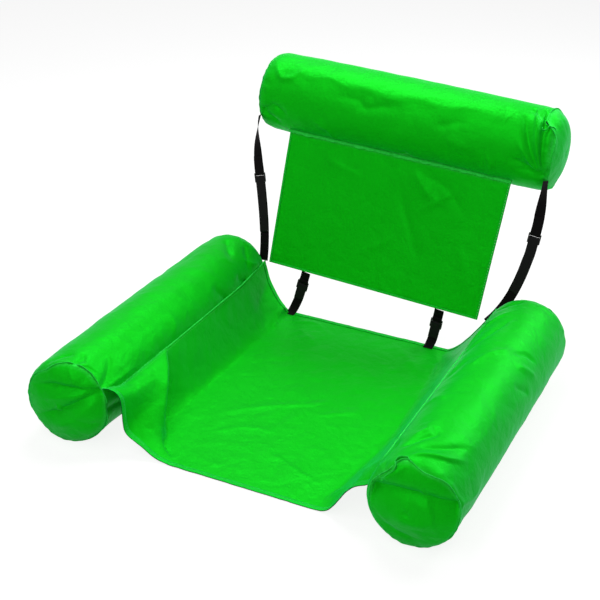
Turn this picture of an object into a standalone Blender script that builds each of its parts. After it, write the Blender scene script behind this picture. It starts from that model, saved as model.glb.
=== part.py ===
"""Inflatable pool lounger: two arm bolsters, a headrest bolster, a seat, a back and webbing straps.

Metres, +Z up. The origin is on the floor under the middle of the seat, halfway between the arms'
ends. +Y is towards the back. Left (-X) and right (+X) are as seen by someone who faces the lounger.
"""
import math

import bpy
import bmesh
from mathutils import Matrix, Vector

# Bolsters: fabric sleeves with sewn end discs over air bladders
OVERALL_WIDTH = 1.000
ARM_RADIUS = 0.0975
ARM_LENGTH = 0.782
HEADREST_RADIUS = 0.099
HEADREST_LENGTH = 0.764
END_ROUNDING = 0.025
END_DRAW_IN = 0.012
END_BULGE = 0.018
DISC_INSET = 0.001
PLEAT_COUNT = 8
PLEAT_DEPTH = 0.0040
PLEAT_REACH = 0.075
MIDDLE_FULLNESS = 0.0012
ARM_FLAT_DEPTH = 0.0005

# Cloth, film and clearances
SLEEVE_WALL = 0.0006
BLADDER_WALL = 0.0004
SEAT_CLOTH = 0.0008
BACK_CLOTH = 0.0008
TOUCH_GAP = 0.0003
SEAM_GAP = 0.0006
BLADDER_SIDE_GAP = 0.0062
BLADDER_END_GAP = 0.0020

# Seat: a sheet sewn to the arms that falls to the floor between them
LEFT_SEAM_ANGLE = math.radians(15.0)
RIGHT_SEAM_ANGLE = math.radians(29.0)
SEAT_FRONT = -0.360
SEAT_REAR = 0.392
SEAT_SLOPE_RUN = 0.100
SEAT_FRONT_BOW = 0.004
TUCK_HEIGHT = 0.006
TUCK_SPREAD = 0.022

# Backrest: its own frame stands on the recline axis, at the foot of the back panel
AXIS_OFFSET = -0.018
AXIS_REAR = 0.400
AXIS_HEIGHT = 0.1135
BACK_LEAN = math.radians(16.6)
BACK_ROLL = math.radians(2.4)
BACK_YAW = math.radians(-1.2)
HEADREST_HEIGHT = 0.439
HEADREST_SETBACK = 0.046
BACK_TOP_WIDTH = 0.596
BACK_FOOT_WIDTH = 0.580
BACK_TOP_GAP = 0.0025
BACK_BILLOW = 0.006
BACK_CREASE = 0.003

# Webbing and its sliders
WEB_WIDTH = 0.025
WEB_THICKNESS = 0.0012
SIDE_STRAP_ANGLE = math.radians(226.0)
SIDE_STRAP_STANDOFF = 0.0015
SIDE_STRAP_TWIST = math.radians(75.0)
SIDE_TAIL_LENGTH = 0.132
SIDE_LAP_LENGTH = 0.045
LEFT_SLIDER_HEIGHT = 0.212
RIGHT_SLIDER_HEIGHT = 0.229
SEAT_TAIL_LENGTH = 0.030
SEAT_LAP_LENGTH = 0.008
SEAT_SLIDER_DROP = 0.040
SEAT_STRAP_HEM_LAP = 0.018
LEFT_SEAT_STRAP_TOP = -0.200
LEFT_SEAT_STRAP_FOOT = -0.232
RIGHT_SEAT_STRAP_TOP = 0.172
RIGHT_SEAT_STRAP_FOOT = 0.156
SLIDER_WIDTH = 0.031
SLIDER_HEIGHT = 0.024
SLIDER_BAR = 0.003
SLIDER_SLOT_WIDTH = 0.0262

# Inflation valve, pushed in at the end of each bladder
VALVE_BORE = 0.0035
VALVE_NECK = 0.0060
VALVE_FLANGE = 0.0130
VALVE_FLANGE_THICKNESS = 0.0010
VALVE_STAND = 0.0045
VALVE_TAIL = 0.0070
VALVE_HOLE = 0.0075
VALVE_PATCH = 0.0170
PLUG_PIN_GAP = 0.0003
PLUG_PIN_LENGTH = 0.0080
PLUG_HEAD_RADIUS = 0.0065
PLUG_HEAD_THICKNESS = 0.0020
PLUG_EAR_REACH = 0.0055

# Outlines, as shares of the sizes that they follow
STATION_SHARES = (0.0, 0.40, 1.0)
LEFT_RUN_SHARES = (1.12, 0.62, 0.62)
LEFT_HANDLE_SHARES = (
    ((0.47, 1.39), (0.20, 0.16)),
    ((0.28, 0.74), (0.60, 0.0)),
    ((0.36, 0.78), (0.68, 0.12)),
)
RIGHT_RUN_SHARES = (1.16, 0.94, 1.16)
RIGHT_HANDLE_SHARES = (
    ((0.42, 0.47), (0.47, 0.52)),
    ((0.49, 0.52), (0.75, 0.03)),
    ((0.28, 0.62), (0.70, 0.07)),
)
SEAT_ROW_SHARES = (0.0, 0.04, 0.09, 0.14, 0.19, 0.24, 0.29, 0.35, 0.42, 0.52, 0.64, 0.76, 0.87, 0.95, 1.0)
TUCK_TOP_SHARE = 0.37
TUCK_FOOT_SHARE = 0.09
LEFT_STRAP_SHARES = ((1.022, 0.72), (0.829, 0.43), (0.803, 0.0))
RIGHT_STRAP_SHARES = ((1.015, 0.72), (1.030, 0.27), (0.824, 0.0))
RING_SHARES = (0.0, 0.16, 0.48, 1.0, 1.8, 3.0)
DISC_SHARES = (1.0, 0.86, 0.55)

STRAP_ANCHOR_SHARE = 0.28
STRAP_TWIST_START_SHARE = 0.68
STRAP_LIFT_START_SHARE = 0.60
SLIDER_EASE_SHARE = 1.5
CREASE_SLANT_SHARE = 0.25
EAR_SHARPNESS = 6

# Waves of slack cloth
SLACK_WAVES = 3
SLACK_TURNS = 2
CREASE_WAVES = 2

# Facets and smoothing
SMOOTH_BELOW = math.radians(50.0)
WEB_SMOOTH_BELOW = math.radians(60.0)
SLEEVE_SEGMENTS = 32
BLADDER_SEGMENTS = 16
DOME_POINTS = 4
VALVE_SEGMENTS = 16
SLOPE_POINTS = 7
FLAT_POINTS = 3
BACK_COLUMNS = 12
BACK_ROWS = 8
TURN_POINTS = 6
UPPER_STEPS = 7
LOWER_STEPS = 8
PATH_STEPS = 60

# Worked out from the sizes above
ARM_CENTRE = OVERALL_WIDTH / 2 - ARM_RADIUS
ARM_AXIS_HEIGHT = ARM_RADIUS - ARM_FLAT_DEPTH
PLY_GAP = WEB_THICKNESS / 2 + TOUCH_GAP / 2
BAR_WRAP = SLIDER_BAR / 2 + TOUCH_GAP + WEB_THICKNESS / 2
BAR_PITCH = (SLIDER_HEIGHT - SLIDER_BAR) / 2

FABRIC = ("cover_fabric", (0.0, 0.50, 0.02, 1.0), 0.45, 0.0)
FILM = ("bladder_film", (0.72, 0.78, 0.80, 1.0), 0.25, 0.0)
WEBBING = ("webbing", (0.010, 0.008, 0.010, 1.0), 0.80, 0.0)
SLIDER_PLASTIC = ("slider_plastic", (0.012, 0.012, 0.013, 1.0), 0.40, 0.0)
VALVE_VINYL = ("valve_vinyl", (0.80, 0.82, 0.82, 1.0), 0.35, 0.0)


def make_material(name, finish):
    """Return a Principled material of one piece: finish is (kind, colour, roughness, metallic)."""
    kind, colour, roughness, metallic = finish
    material = bpy.data.materials.new(name + "_" + kind)
    material.use_nodes = True
    shader = material.node_tree.nodes["Principled BSDF"]
    shader.inputs["Base Color"].default_value = colour
    shader.inputs["Roughness"].default_value = roughness
    shader.inputs["Metallic"].default_value = metallic
    material.diffuse_color = colour
    return material


def add_piece(name, points, faces, parent, finish, smooth_below=SMOOTH_BELOW):
    """Make one object from points and faces, hang it on its parent and shade it."""
    mesh = bpy.data.meshes.new(name)
    mesh.from_pydata([tuple(point) for point in points], [], faces)
    work = bmesh.new()
    work.from_mesh(mesh)
    bmesh.ops.recalc_face_normals(work, faces=work.faces)
    if work.calc_volume(signed=True) < 0:
        bmesh.ops.reverse_faces(work, faces=work.faces)
    work.to_mesh(mesh)
    work.free()
    mesh.shade_smooth()
    mesh.set_sharp_from_angle(angle=smooth_below)
    piece = bpy.data.objects.new(name, mesh)
    bpy.context.scene.collection.objects.link(piece)
    piece.parent = parent
    mesh.materials.append(make_material(name, finish))
    return piece


def add_frame(name, matrix, parent=None):
    """Make an empty that carries pieces, at a place and turn relative to its parent."""
    frame = bpy.data.objects.new(name, None)
    bpy.context.scene.collection.objects.link(frame)
    frame.parent = parent
    frame.matrix_local = matrix
    return frame


def thicken(piece, thickness, side):
    """Give an open sheet its wall, inwards (side -1) or outwards (side 1) from its face."""
    wall = piece.modifiers.new("wall", "SOLIDIFY")
    wall.thickness = thickness
    wall.offset = side
    return piece


def smooth_step(share):
    """Ease from 0 to 1."""
    share = min(max(share, 0.0), 1.0)
    return share * share * (3.0 - 2.0 * share)


def bezier(points, t):
    """Point at t on a cubic curve with four points."""
    a, b, c, d = points
    s = 1.0 - t
    return a * s ** 3 + b * 3 * s * s * t + c * 3 * s * t * t + d * t ** 3


def ring_faces(rows, segments):
    """Quads between neighbouring rows of a round grid, whose points run row by row."""
    faces = []
    for row in range(rows - 1):
        for i in range(segments):
            j = (i + 1) % segments
            a = row * segments
            b = a + segments
            faces.append((a + i, a + j, b + j, b + i))
    return faces


def grid_faces(rows, columns):
    """Quads of an open grid whose points run row by row."""
    faces = []
    for row in range(rows - 1):
        for column in range(columns - 1):
            a = row * columns + column
            b = a + columns
            faces.append((a, a + 1, b + 1, b))
    return faces


def turned(name, outline, segments, parent, finish, reach=None):
    """Turn an outline of (radius, height) about Y; a closed outline makes a ring, poles close it.

    reach adds a length to the radius of points named in it, as a function of the turn angle.
    """
    points = []
    starts = []
    for index, (radius, height) in enumerate(outline):
        starts.append(len(points))
        if radius == 0:
            points.append(Vector((0, height, 0)))
            continue
        for i in range(segments):
            angle = math.tau * i / segments
            full = radius + (reach(index, angle) if reach else 0.0)
            points.append(Vector((full * math.cos(angle), height, full * math.sin(angle))))
    faces = []
    pairs = [(k, k + 1) for k in range(len(outline) - 1)]
    if outline[0][0] and outline[-1][0]:
        pairs.append((len(outline) - 1, 0))
    for first, second in pairs:
        a, b = starts[first], starts[second]
        pole_a, pole_b = outline[first][0] == 0, outline[second][0] == 0
        for i in range(segments):
            j = (i + 1) % segments
            if pole_a and pole_b:
                continue
            if pole_a:
                faces.append((a, b + j, b + i))
            elif pole_b:
                faces.append((a + i, a + j, b))
            else:
                faces.append((a + i, a + j, b + j, b + i))
    return add_piece(name, points, faces, parent, finish)


# Bolsters

def sleeve_radius(radius, length, along, angle):
    """Radius of a sleeve's outer face at a place along it: full in the middle, drawn in and pleated."""
    from_end = length / 2 - abs(along)
    into = min(max(1.0 - from_end / END_ROUNDING, 0.0), 1.0)
    drawn = END_DRAW_IN * (1.0 - math.sqrt(1.0 - into * into))
    fade = smooth_step(1.0 - from_end / PLEAT_REACH)
    pleat = PLEAT_DEPTH * fade * (0.5 - 0.5 * math.cos(PLEAT_COUNT * angle))
    wave = math.cos(math.tau * SLACK_WAVES * along / length + SLACK_TURNS * angle)
    slack = MIDDLE_FULLNESS * (0.5 - 0.5 * wave)
    return radius - drawn - pleat - slack * (1.0 - fade)


def add_sleeve(name, radius, length, floor, parent):
    """Fabric tube along Y, open at both ends where the discs are sewn in; floor cuts it flat below."""
    ends = [length / 2 - share * END_ROUNDING for share in RING_SHARES]
    middle = ends[-1]
    stations = [-y for y in ends] + [-middle / 3, middle / 3] + ends[::-1]
    points = []
    for y in stations:
        for i in range(SLEEVE_SEGMENTS):
            angle = math.tau * (i + 0.5) / SLEEVE_SEGMENTS
            full = sleeve_radius(radius, length, y, angle)
            height = full * math.sin(angle)
            if floor:
                height = max(height, floor)
            points.append(Vector((full * math.cos(angle), y, height)))
    faces = ring_faces(len(stations), SLEEVE_SEGMENTS)
    sleeve = add_piece(name, points, faces, parent, FABRIC)
    return point_walls_out(thicken(sleeve, SLEEVE_WALL, -1.0))


def point_walls_out(piece):
    """Turn an open sheet's faces away from its own middle, so that its wall grows inwards."""
    mesh = piece.data
    centre = sum((vertex.co for vertex in mesh.vertices), Vector()) / len(mesh.vertices)
    outward = sum((face.center - centre).dot(face.normal) * face.area for face in mesh.polygons)
    if outward < 0:
        mesh.flip_normals()
    return piece


def disc_height(length, share):
    """Height of an end disc's outer face along the bolster, at a share of its radius."""
    return length / 2 - DISC_INSET + END_BULGE * (1.0 - share * share)


def add_end_disc(name, radius, length, end, valve_hole, parent):
    """Domed fabric disc that closes a sleeve's end (end is 1 or -1), with the valve's opening if asked."""
    points = []
    for share in DISC_SHARES:
        height = disc_height(length, share)
        for i in range(SLEEVE_SEGMENTS):
            angle = math.tau * (i + 0.5) / SLEEVE_SEGMENTS
            rim = sleeve_radius(radius, length, length / 2, angle) - SLEEVE_WALL - TOUCH_GAP
            reach = rim * share
            points.append(Vector((reach * math.cos(angle), end * height, reach * math.sin(angle))))
    faces = ring_faces(len(DISC_SHARES), SLEEVE_SEGMENTS)
    top = disc_height(length, 0.0)
    last = len(points) - SLEEVE_SEGMENTS
    inner = [VALVE_PATCH, VALVE_HOLE] if valve_hole else []
    for flat in inner:
        for i in range(SLEEVE_SEGMENTS):
            angle = math.tau * (i + 0.5) / SLEEVE_SEGMENTS
            points.append(Vector((flat * math.cos(angle), end * top, flat * math.sin(angle))))
    if valve_hole:
        faces = ring_faces(len(DISC_SHARES) + len(inner), SLEEVE_SEGMENTS)
    else:
        points.append(Vector((0, end * top, 0)))
        for i in range(SLEEVE_SEGMENTS):
            faces.append((last + i, last + (i + 1) % SLEEVE_SEGMENTS, len(points) - 1))
    disc = add_piece(name, points, faces, parent, FABRIC)
    wall = thicken(disc, SLEEVE_WALL, -1.0)
    facing = sum(face.normal.y * face.area for face in disc.data.polygons) * end
    if facing < 0:
        disc.data.flip_normals()
    return wall


def bladder_top(length):
    """Height of the bladder's outer face at its valve, under the end disc and the valve's flange."""
    return disc_height(length, 0.0) - SLEEVE_WALL - VALVE_FLANGE_THICKNESS - BLADDER_END_GAP


def add_bladder(name, radius, length, parent):
    """Air bladder: a thin film tube with domed ends, open only where the valve is welded in."""
    side = radius - BLADDER_SIDE_GAP
    shoulder = length / 2 - END_ROUNDING - BLADDER_SIDE_GAP
    top = bladder_top(length)
    rise = top - shoulder
    dome = []
    for k in range(1, DOME_POINTS):
        turn = math.pi / 2 * k / DOME_POINTS
        dome.append((side * math.cos(turn), shoulder + rise * math.sin(turn) ** 2))
    valve_end = [(VALVE_NECK + TOUCH_GAP, top), (VALVE_PATCH, top)] + dome[::-1] + [(side, shoulder)]
    plain_end = [(r, -y) for r, y in [(side, shoulder)] + dome + [(0, top)]]
    points = valve_end + plain_end
    bladder = turned_sheet(name, points, BLADDER_SEGMENTS, parent)
    return point_walls_out(thicken(bladder, BLADDER_WALL, -1.0))


def turned_sheet(name, outline, segments, parent):
    """Turn an open outline of (radius, height) that ends on the axis, as a sheet without a wall."""
    points = []
    for radius, height in outline[:-1]:
        for i in range(segments):
            angle = math.tau * i / segments
            points.append(Vector((radius * math.cos(angle), height, radius * math.sin(angle))))
    faces = ring_faces(len(outline) - 1, segments)
    last = len(points) - segments
    points.append(Vector((0, outline[-1][1], 0)))
    for i in range(segments):
        faces.append((last + i, last + (i + 1) % segments, len(points) - 1))
    return add_piece(name, points, faces, parent, FILM)


def add_valve(name, length, parent):
    """Valve stem on the bladder's end: a tube with a welded flange, standing through the disc."""
    seat = bladder_top(length) + TOUCH_GAP
    flange = seat + VALVE_FLANGE_THICKNESS
    top = disc_height(length, 0.0) + VALVE_STAND
    foot = seat - VALVE_TAIL
    outline = [
        (VALVE_BORE, foot), (VALVE_NECK, foot), (VALVE_NECK, seat), (VALVE_FLANGE, seat),
        (VALVE_FLANGE, flange), (VALVE_NECK, flange), (VALVE_NECK, top), (VALVE_BORE, top),
    ]
    return turned(name, outline, VALVE_SEGMENTS, parent, VALVE_VINYL)


def add_plug(name, length, parent):
    """Valve plug: a pin in the stem's bore under a head with a pull ear; its origin is on its slide."""
    seat = disc_height(length, 0.0) + VALVE_STAND + TOUCH_GAP
    frame = add_frame(name + "_slide", Matrix.Translation((0, seat, 0)), parent)
    pin = VALVE_BORE - PLUG_PIN_GAP
    outline = [
        (0, -PLUG_PIN_LENGTH), (pin, -PLUG_PIN_LENGTH), (pin, 0), (PLUG_HEAD_RADIUS, 0),
        (PLUG_HEAD_RADIUS, PLUG_HEAD_THICKNESS), (0, PLUG_HEAD_THICKNESS),
    ]
    head_rows = (3, 4)

    def ear(index, angle):
        """Reach of the pull ear beyond the round head."""
        return PLUG_EAR_REACH * max(math.cos(angle), 0.0) ** EAR_SHARPNESS if index in head_rows else 0.0

    return turned(name, outline, VALVE_SEGMENTS, frame, VALVE_VINYL, ear)


def add_bolster(prefix, radius, length, floor, parent, disc_names):
    """One bolster along Y with its valve at the +Y end: sleeve, two discs, bladder, stem and plug."""
    valve_disc, plain_disc = disc_names
    add_sleeve(prefix + "_sleeve", radius, length, floor, parent)
    add_end_disc(valve_disc, radius, length, 1, True, parent)
    add_end_disc(plain_disc, radius, length, -1, False, parent)
    add_bladder(prefix + "_bladder", radius, length, parent)
    add_valve(prefix + "_valve_stem", length, parent)
    add_plug(prefix + "_valve_plug", length, parent)


def seam_point(side, gap=0.0):
    """Where the seat is sewn to an arm (side -1 left, 1 right), a gap away from the sleeve."""
    angle = LEFT_SEAM_ANGLE if side < 0 else RIGHT_SEAM_ANGLE
    reach = ARM_RADIUS + gap
    across = ARM_CENTRE - reach * math.cos(angle)
    return Vector((side * across, 0, ARM_AXIS_HEIGHT + reach * math.sin(angle)))


def add_arm(prefix, side):
    """One arm bolster, hung on a frame that lies on its seam with the seat."""
    seam = seam_point(side)
    hinge = add_frame(prefix + "_seam", Matrix.Translation(seam))
    centre = Vector((side * ARM_CENTRE, 0, ARM_AXIS_HEIGHT))
    place = add_frame(prefix + "_place", Matrix.Translation(centre - seam), hinge)
    discs = (prefix + "_rear_disc", prefix + "_front_disc")
    add_bolster(prefix, ARM_RADIUS, ARM_LENGTH, -ARM_AXIS_HEIGHT, place, discs)


# Seat

def between_stations(values, share):
    """Ease between values given at the front, middle and rear stations."""
    first = 0 if share <= STATION_SHARES[1] else 1
    start, end = STATION_SHARES[first], STATION_SHARES[first + 1]
    mix = smooth_step((share - start) / (end - start))
    return values[first] * (1.0 - mix) + values[first + 1] * mix


def slope_curve(side, share):
    """Four points of the cloth's fall from an arm's seam to the floor, at a share of the seat's depth."""
    seam = seam_point(side, SEAM_GAP)
    runs = LEFT_RUN_SHARES
    handles = LEFT_HANDLE_SHARES
    if side > 0:
        runs = RIGHT_RUN_SHARES
        handles = RIGHT_HANDLE_SHARES
    run = SEAT_SLOPE_RUN * between_stations(runs, share)
    curve = [seam]
    for handle in range(2):
        across = between_stations([station[handle][0] for station in handles], share)
        up = between_stations([station[handle][1] for station in handles], share)
        curve.append(Vector((seam.x - side * run * across, 0, seam.z * up)))
    curve.append(Vector((seam.x - side * run, 0, 0)))
    return curve


def tuck(share, t):
    """Height of the soft tuck that runs from the left seam forward to the floor."""
    middle = TUCK_TOP_SHARE + (TUCK_FOOT_SHARE - TUCK_TOP_SHARE) * t
    away = (share - middle) * (SEAT_REAR - SEAT_FRONT) / TUCK_SPREAD
    return TUCK_HEIGHT * math.exp(-away * away) * math.sin(math.pi * t)


def seat_row(share):
    """Points of the seat cloth's underside across the seat, left to right, at one share of its depth."""
    left, right = slope_curve(-1, share), slope_curve(1, share)
    row = []
    for k in range(SLOPE_POINTS):
        t = k / SLOPE_POINTS
        point = bezier(left, t)
        row.append(point + Vector((1, 0, 1)).normalized() * tuck(share, t))
    for k in range(FLAT_POINTS + 1):
        row.append(left[3].lerp(right[3], k / FLAT_POINTS))
    for k in range(1, SLOPE_POINTS + 1):
        row.append(bezier(right, 1.0 - k / SLOPE_POINTS))
    depth = SEAT_FRONT + (SEAT_REAR - SEAT_FRONT) * share
    for point in row:
        lift = min(point.z / seam_point(-1).z, 1.0)
        point.y = depth - SEAT_FRONT_BOW * (1.0 - share) * (1.0 - lift)
    return row


def add_seat():
    """Seat cloth: sewn to both arms' inner sides, falling to the floor and lying flat between them."""
    rows = [seat_row(share) for share in SEAT_ROW_SHARES]
    points = [point for row in rows for point in row]
    seat = add_piece("seat_panel", points, grid_faces(len(rows), len(rows[0])), None, FABRIC)
    facing = sum(face.normal.z * face.area for face in seat.data.polygons)
    if facing < 0:
        seat.data.flip_normals()
    return thicken(seat, SEAT_CLOTH, 1.0)


# Backrest

def backrest_matrix():
    """Place and turn of the backrest's own frame: on the recline axis, leaning back, as it stands."""
    level = Matrix.Rotation(BACK_YAW, 4, "Z") @ Matrix.Rotation(BACK_ROLL, 4, "Y")
    turn = level @ Matrix.Rotation(-BACK_LEAN, 4, "X")
    return Matrix.Translation((AXIS_OFFSET, AXIS_REAR, AXIS_HEIGHT)) @ turn


def back_top():
    """Height of the back panel's top edge, where its plane meets the headrest's sleeve."""
    return HEADREST_HEIGHT - math.sqrt(HEADREST_RADIUS ** 2 - HEADREST_SETBACK ** 2) - BACK_TOP_GAP


def add_back(frame):
    """Back panel: a hemmed sheet from the recline axis up to the headrest, a little billowed."""
    height = back_top()
    points = []
    for row in range(BACK_ROWS + 1):
        v = row / BACK_ROWS
        width = BACK_FOOT_WIDTH + (BACK_TOP_WIDTH - BACK_FOOT_WIDTH) * v
        for column in range(BACK_COLUMNS + 1):
            u = column / BACK_COLUMNS
            billow = BACK_BILLOW * math.sin(math.pi * v) * math.sin(math.pi * u)
            wave = math.cos(math.tau * CREASE_WAVES * (u - v * CREASE_SLANT_SHARE))
            crease = BACK_CREASE * math.sin(math.pi * v) * wave
            up = TOUCH_GAP + (height - TOUCH_GAP) * v
            points.append(Vector(((u - 0.5) * width, billow + crease, up)))
    back = add_piece("back_panel", points, grid_faces(BACK_ROWS + 1, BACK_COLUMNS + 1), frame, FABRIC)
    return thicken(back, BACK_CLOTH, 0.0)


def add_headrest(frame):
    """Headrest bolster across the top of the back, with its valve at its left end."""
    turn = Matrix.Rotation(math.pi / 2, 4, "Z")
    centre = Matrix.Translation((0, HEADREST_SETBACK, HEADREST_HEIGHT))
    place = add_frame("headrest_place", centre @ turn, frame)
    discs = ("headrest_left_disc", "headrest_right_disc")
    add_bolster("headrest", HEADREST_RADIUS, HEADREST_LENGTH, None, place, discs)


# Straps

class StrapPath:
    """A strap's middle line from its foot to its top, as a smooth curve measured along its length.

    The curve runs straight through the slider and eases back to its own course beyond it.
    """

    def __init__(self, curve, across, twist):
        self.curve = curve
        self.across = across
        self.twist = twist
        self.slider_at = None
        self.lengths = [0.0]
        for k in range(PATH_STEPS):
            step = bezier(curve, (k + 1) / PATH_STEPS) - bezier(curve, k / PATH_STEPS)
            self.lengths.append(self.lengths[-1] + step.length)
        self.length = self.lengths[-1]

    def frame(self, along):
        """Middle point, run, face normal and width direction at a length along the strap."""
        point, run, width = self.free_frame(along)
        if self.slider_at is not None:
            away = abs(along - self.slider_at) / SLIDER_HEIGHT
            own = smooth_step((away - 1.0) / SLIDER_EASE_SHARE)
            middle, straight, flat = self.free_frame(self.slider_at)
            point = (middle + straight * (along - self.slider_at)).lerp(point, own)
            run = straight.lerp(run, own).normalized()
            width = flat.lerp(width, own)
            width = (width - run * run.dot(width)).normalized()
        return point, run, run.cross(width), width

    def free_frame(self, along):
        """Middle point, run and width direction on the smooth curve itself."""
        along_inside = min(max(along, 0.0), self.length)
        k = min(sum(1 for length in self.lengths[1:] if length < along_inside), PATH_STEPS - 1)
        part = (along_inside - self.lengths[k]) / (self.lengths[k + 1] - self.lengths[k])
        t = (k + part) / PATH_STEPS
        point = bezier(self.curve, t)
        near = 1.0 / PATH_STEPS
        ahead = bezier(self.curve, min(t + near, 1.0))
        run = (ahead - bezier(self.curve, max(t - near, 0.0))).normalized()
        point = point + run * (along - along_inside)
        width = (self.across - run * self.across.dot(run)).normalized()
        width = Matrix.Rotation(self.twist(along_inside / self.length), 3, run) @ width
        return point, run, width


def ply(name, path, stations, parent):
    """One layer of webbing through stations of (length along the path, height off its middle)."""
    points = []
    for k, (along, height) in enumerate(stations):
        before = stations[max(k - 1, 0)]
        after = stations[min(k + 1, len(stations) - 1)]
        middle, run, normal, width = path.frame(along)
        heading = Vector((after[0] - before[0], after[1] - before[1])).normalized()
        lift = normal * heading.x - run * heading.y
        centre = middle + normal * height
        for side, face in ((-1, -1), (1, -1), (1, 1), (-1, 1)):
            points.append(centre + width * (side * WEB_WIDTH / 2) + lift * (face * WEB_THICKNESS / 2))
    faces = [(3, 2, 1, 0)]
    for a in range(0, len(points) - 4, 4):
        b = a + 4
        faces += [(a, a + 1, b + 1), (a, b + 1, b), (a + 2, a + 3, b + 2), (a + 3, b + 3, b + 2)]
        faces += [(a + 1, a + 2, b + 2, b + 1), (a + 3, a, b, b + 3)]
    end = len(points) - 4
    faces.append((end, end + 1, end + 2, end + 3))
    return add_piece(name, points, faces, parent, WEBBING, WEB_SMOOTH_BELOW)


def turn_round_bar(bar, going_up):
    """Stations of webbing round a slider's bar, from behind it to its front."""
    way = 1.0 if going_up else -1.0
    edge = bar + way * SLIDER_BAR / 2
    stations = []
    for k in range(TURN_POINTS + 1):
        angle = math.pi * k / TURN_POINTS
        stations.append((edge + way * BAR_WRAP * math.sin(angle), BAR_WRAP * math.cos(angle)))
    return stations


def add_slider(name, path, along, parent):
    """Moulded slider with three bars, in a frame of its own that slides along the strap."""
    middle, run, normal, width = path.frame(along)
    turn = Matrix((width, normal, run)).transposed().to_4x4()
    frame = add_frame(name + "_slide", Matrix.Translation(middle) @ turn, parent)
    slot = (SLIDER_HEIGHT - 3 * SLIDER_BAR) / 2
    half_width, half_slot = SLIDER_WIDTH / 2, SLIDER_SLOT_WIDTH / 2
    columns = [-half_width, -half_slot, half_slot, half_width]
    rows = [-SLIDER_HEIGHT / 2]
    for step in (SLIDER_BAR, slot, SLIDER_BAR, slot, SLIDER_BAR):
        rows.append(rows[-1] + step)
    work = bmesh.new()
    grid = [[work.verts.new((x, -SLIDER_BAR / 2, z)) for x in columns] for z in rows]
    for i in range(len(rows) - 1):
        for j in range(len(columns) - 1):
            if i % 2 == 1 and j == 1:
                continue
            work.faces.new((grid[i][j], grid[i][j + 1], grid[i + 1][j + 1], grid[i + 1][j]))
    front = list(work.faces)
    grown = bmesh.ops.extrude_face_region(work, geom=front)
    lifted = [item for item in grown["geom"] if isinstance(item, bmesh.types.BMVert)]
    bmesh.ops.translate(work, verts=lifted, vec=Vector((0, SLIDER_BAR, 0)))
    work.verts.index_update()
    points = [vertex.co.copy() for vertex in work.verts]
    faces = [tuple(vertex.index for vertex in face.verts) for face in work.faces]
    work.free()
    return add_piece(name, points, faces, frame, SLIDER_PLASTIC)


def add_strap(prefix, path, slider_at, lap, tail, parent):
    """Upper webbing looped round the top bar, lower webbing over the middle bar with its tail, slider."""
    path.slider_at = slider_at
    top_bar = slider_at + BAR_PITCH
    free = path.length - top_bar - lap
    upper = [(path.length - free * k / UPPER_STEPS, PLY_GAP) for k in range(UPPER_STEPS + 1)]
    upper.append((top_bar + SLIDER_BAR, BAR_WRAP))
    upper += turn_round_bar(top_bar, False)
    upper += [(top_bar + SLIDER_BAR, -BAR_WRAP), (top_bar + lap, -PLY_GAP)]
    ply(prefix + "_upper", path, upper, parent)
    below = slider_at - BAR_PITCH
    lower = []
    for k in range(LOWER_STEPS + 1):
        along = (below - SLIDER_BAR) * k / LOWER_STEPS
        near_bar = (along / below - STRAP_LIFT_START_SHARE) / (1.0 - STRAP_LIFT_START_SHARE)
        lower.append((along, PLY_GAP + (BAR_WRAP - PLY_GAP) * smooth_step(near_bar)))
    lower.append((below, BAR_WRAP))
    lower += turn_round_bar(slider_at, True)
    lower.append((below, -BAR_WRAP))
    for k in range(1, LOWER_STEPS + 1):
        along = below - SLIDER_BAR - (tail - SLIDER_BAR) * (k - 1) / (LOWER_STEPS - 1)
        lower.append((along, -BAR_WRAP - WEB_THICKNESS * math.sin(math.pi * k / LOWER_STEPS)))
    ply(prefix + "_lower", path, lower, parent)
    add_slider(prefix + "_slider", path, slider_at, parent)


def side_strap_path(side):
    """Side strap: from the seat's rear corner up to the headrest's end seam, twisting as it rises."""
    reach = HEADREST_RADIUS - END_DRAW_IN + WEB_WIDTH * STRAP_ANCHOR_SHARE
    span = HEADREST_LENGTH / 2 + SIDE_STRAP_STANDOFF
    top = Vector((
        side * span,
        HEADREST_SETBACK + reach * math.cos(SIDE_STRAP_ANGLE),
        HEADREST_HEIGHT + reach * math.sin(SIDE_STRAP_ANGLE),
    ))
    shares = LEFT_STRAP_SHARES if side < 0 else RIGHT_STRAP_SHARES
    lower = [Vector((side * span * across, top.y * up, top.z * up)) for across, up in shares]
    curve = [lower[2], lower[1], lower[0], top]

    def twist(share):
        """Turn of the webbing about its run: flat to the front at the foot, edge on at the top."""
        turned_share = (share - STRAP_TWIST_START_SHARE) / (1.0 - STRAP_TWIST_START_SHARE)
        return side * SIDE_STRAP_TWIST * smooth_step(turned_share)

    return StrapPath(curve, Vector((1, 0, 0)), twist)


def add_side_strap(prefix, side, slider_height, frame):
    """One long side strap with its slider, carried by the backrest."""
    path = side_strap_path(side)
    slider_at = next(length for length in path.lengths if path.frame(length)[0].z > slider_height)
    add_strap(prefix, path, slider_at, SIDE_LAP_LENGTH, SIDE_TAIL_LENGTH, frame)


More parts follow.
